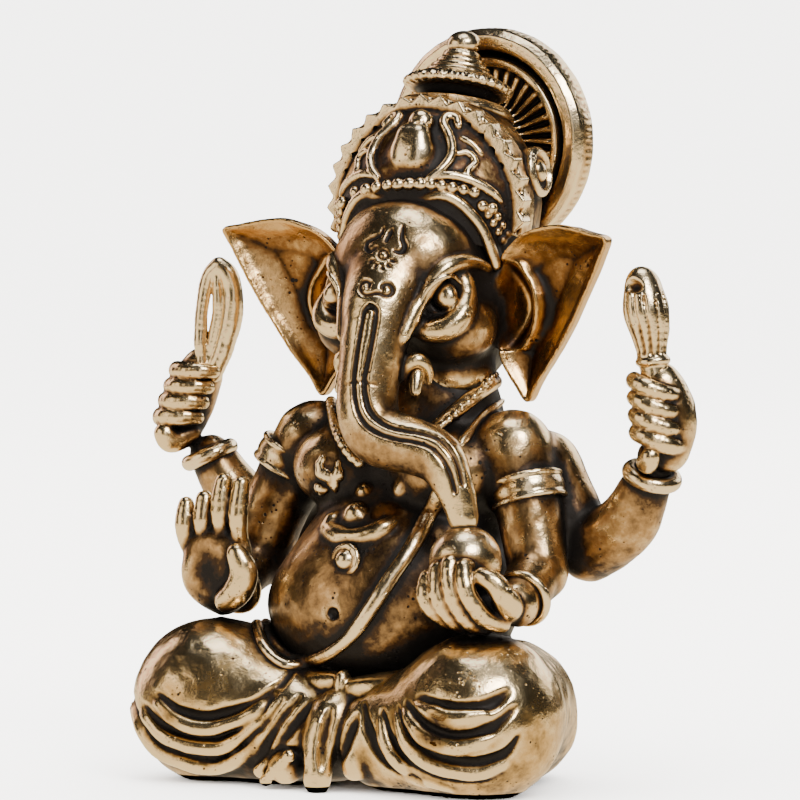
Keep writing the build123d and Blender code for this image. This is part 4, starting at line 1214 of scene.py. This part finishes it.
def make_floor():
    """A pale floor that the brass doesn't mirror: its glow from below comes from the bounce panel."""
    mesh = bpy.data.meshes.new("floor")
    size = FLOOR_HALF * SCALE
    corners = [(-size, -size, 0), (size, -size, 0), (size, size, 0), (-size, size, 0)]
    mesh.from_pydata(corners, [], [(0, 1, 2, 3)])
    floor = bpy.data.objects.new("floor", mesh)
    bpy.context.scene.collection.objects.link(floor)
    material = bpy.data.materials.new("floor")
    material.use_nodes = True
    shader = material.node_tree.nodes["Principled BSDF"]
    shader.inputs["Base Color"].default_value = (0.86, 0.85, 0.83, 1)
    shader.inputs["Roughness"].default_value = 0.8
    mesh.materials.append(material)
    floor.visible_glossy = False


def add_area(name, place, target, size, radiance, colour=(1, 1, 1)):
    """A rectangular light whose power follows from its size and from how bright it looks."""
    light = bpy.data.lights.new(name, "AREA")
    light.shape, light.size, light.size_y = "RECTANGLE", size[0] * SCALE, size[1] * SCALE
    light.energy, light.color = radiance * pi * light.size * light.size_y, colour
    lamp = bpy.data.objects.new(name, light)
    lamp.location = Vector(place) * SCALE
    lamp.rotation_euler = (Vector(target) * SCALE - lamp.location).to_track_quat("-Z", "Y").to_euler()
    bpy.context.scene.collection.objects.link(lamp)
    return lamp


def add_camera(distance, centre_right, centre_up):
    """A camera round the figure's foot: centre_right and centre_up are the view's middle, in metres."""
    a, e = radians(BODY_VIEW), radians(CAMERA_TILT)
    forward = Vector((-sin(a) * cos(e), cos(a) * cos(e), -sin(e)))
    right = Vector((cos(a), sin(a), 0))
    up = right.cross(forward)
    camera = bpy.data.cameras.new("camera")
    camera.angle = radians(FIELD_OF_VIEW)
    camera.clip_start, camera.clip_end = 0.01, 20
    holder = bpy.data.objects.new("camera", camera)
    target = (right * centre_right + up * centre_up) * SCALE
    rotation = Matrix((right, up, -forward)).transposed()
    holder.matrix_world = Matrix.Translation(target - forward * distance * SCALE) @ rotation.to_4x4()
    bpy.context.scene.collection.objects.link(holder)
    bpy.context.scene.camera = holder


def make_world():
    """A white surround that lights the scene but isn't mirrored: only the lights shine in the brass."""
    world = bpy.data.worlds.new("studio")
    bpy.context.scene.world = world
    world.use_nodes = True
    background = world.node_tree.nodes["Background"]
    background.inputs["Color"].default_value = (0.98, 0.97, 0.96, 1)
    background.inputs["Strength"].default_value = 7.0
    world.cycles_visibility.glossy = False


make_floor()
make_world()
add_area("key", (0.24, -0.14, 0.27), (0, 0, 0.03), (0.14, 0.14), 22, (1, 0.98, 0.94))
add_area("fill", (-0.20, -0.30, 0.12), (0, 0, 0.025), (0.26, 0.22), 2.0, (1, 0.84, 0.62))
bounce = add_area("bounce", (0, 0, 0.0004), (0, 0, 1), (0.6, 0.6), 1.7, (1, 0.85, 0.6))
bounce.visible_camera = False
add_area("front", (0.2, -0.3, 0.12), (0, 0, 0.02), (0.1, 0.2), 1.6, (1, 0.9, 0.76))
add_area("top", (0.0, 0.0, 0.36), (0, 0, 0.02), (0.16, 0.16), 5)
add_area("rim", (0.02, 0.30, 0.14), (0, 0, 0.03), (0.3, 0.14), 3.0, (1, 0.94, 0.86))
add_area("left", (-0.30, 0.06, 0.12), (0, 0, 0.025), (0.1, 0.24), 3.0, (1, 0.74, 0.62))
add_camera(0.6, -0.00141, 0.02477)
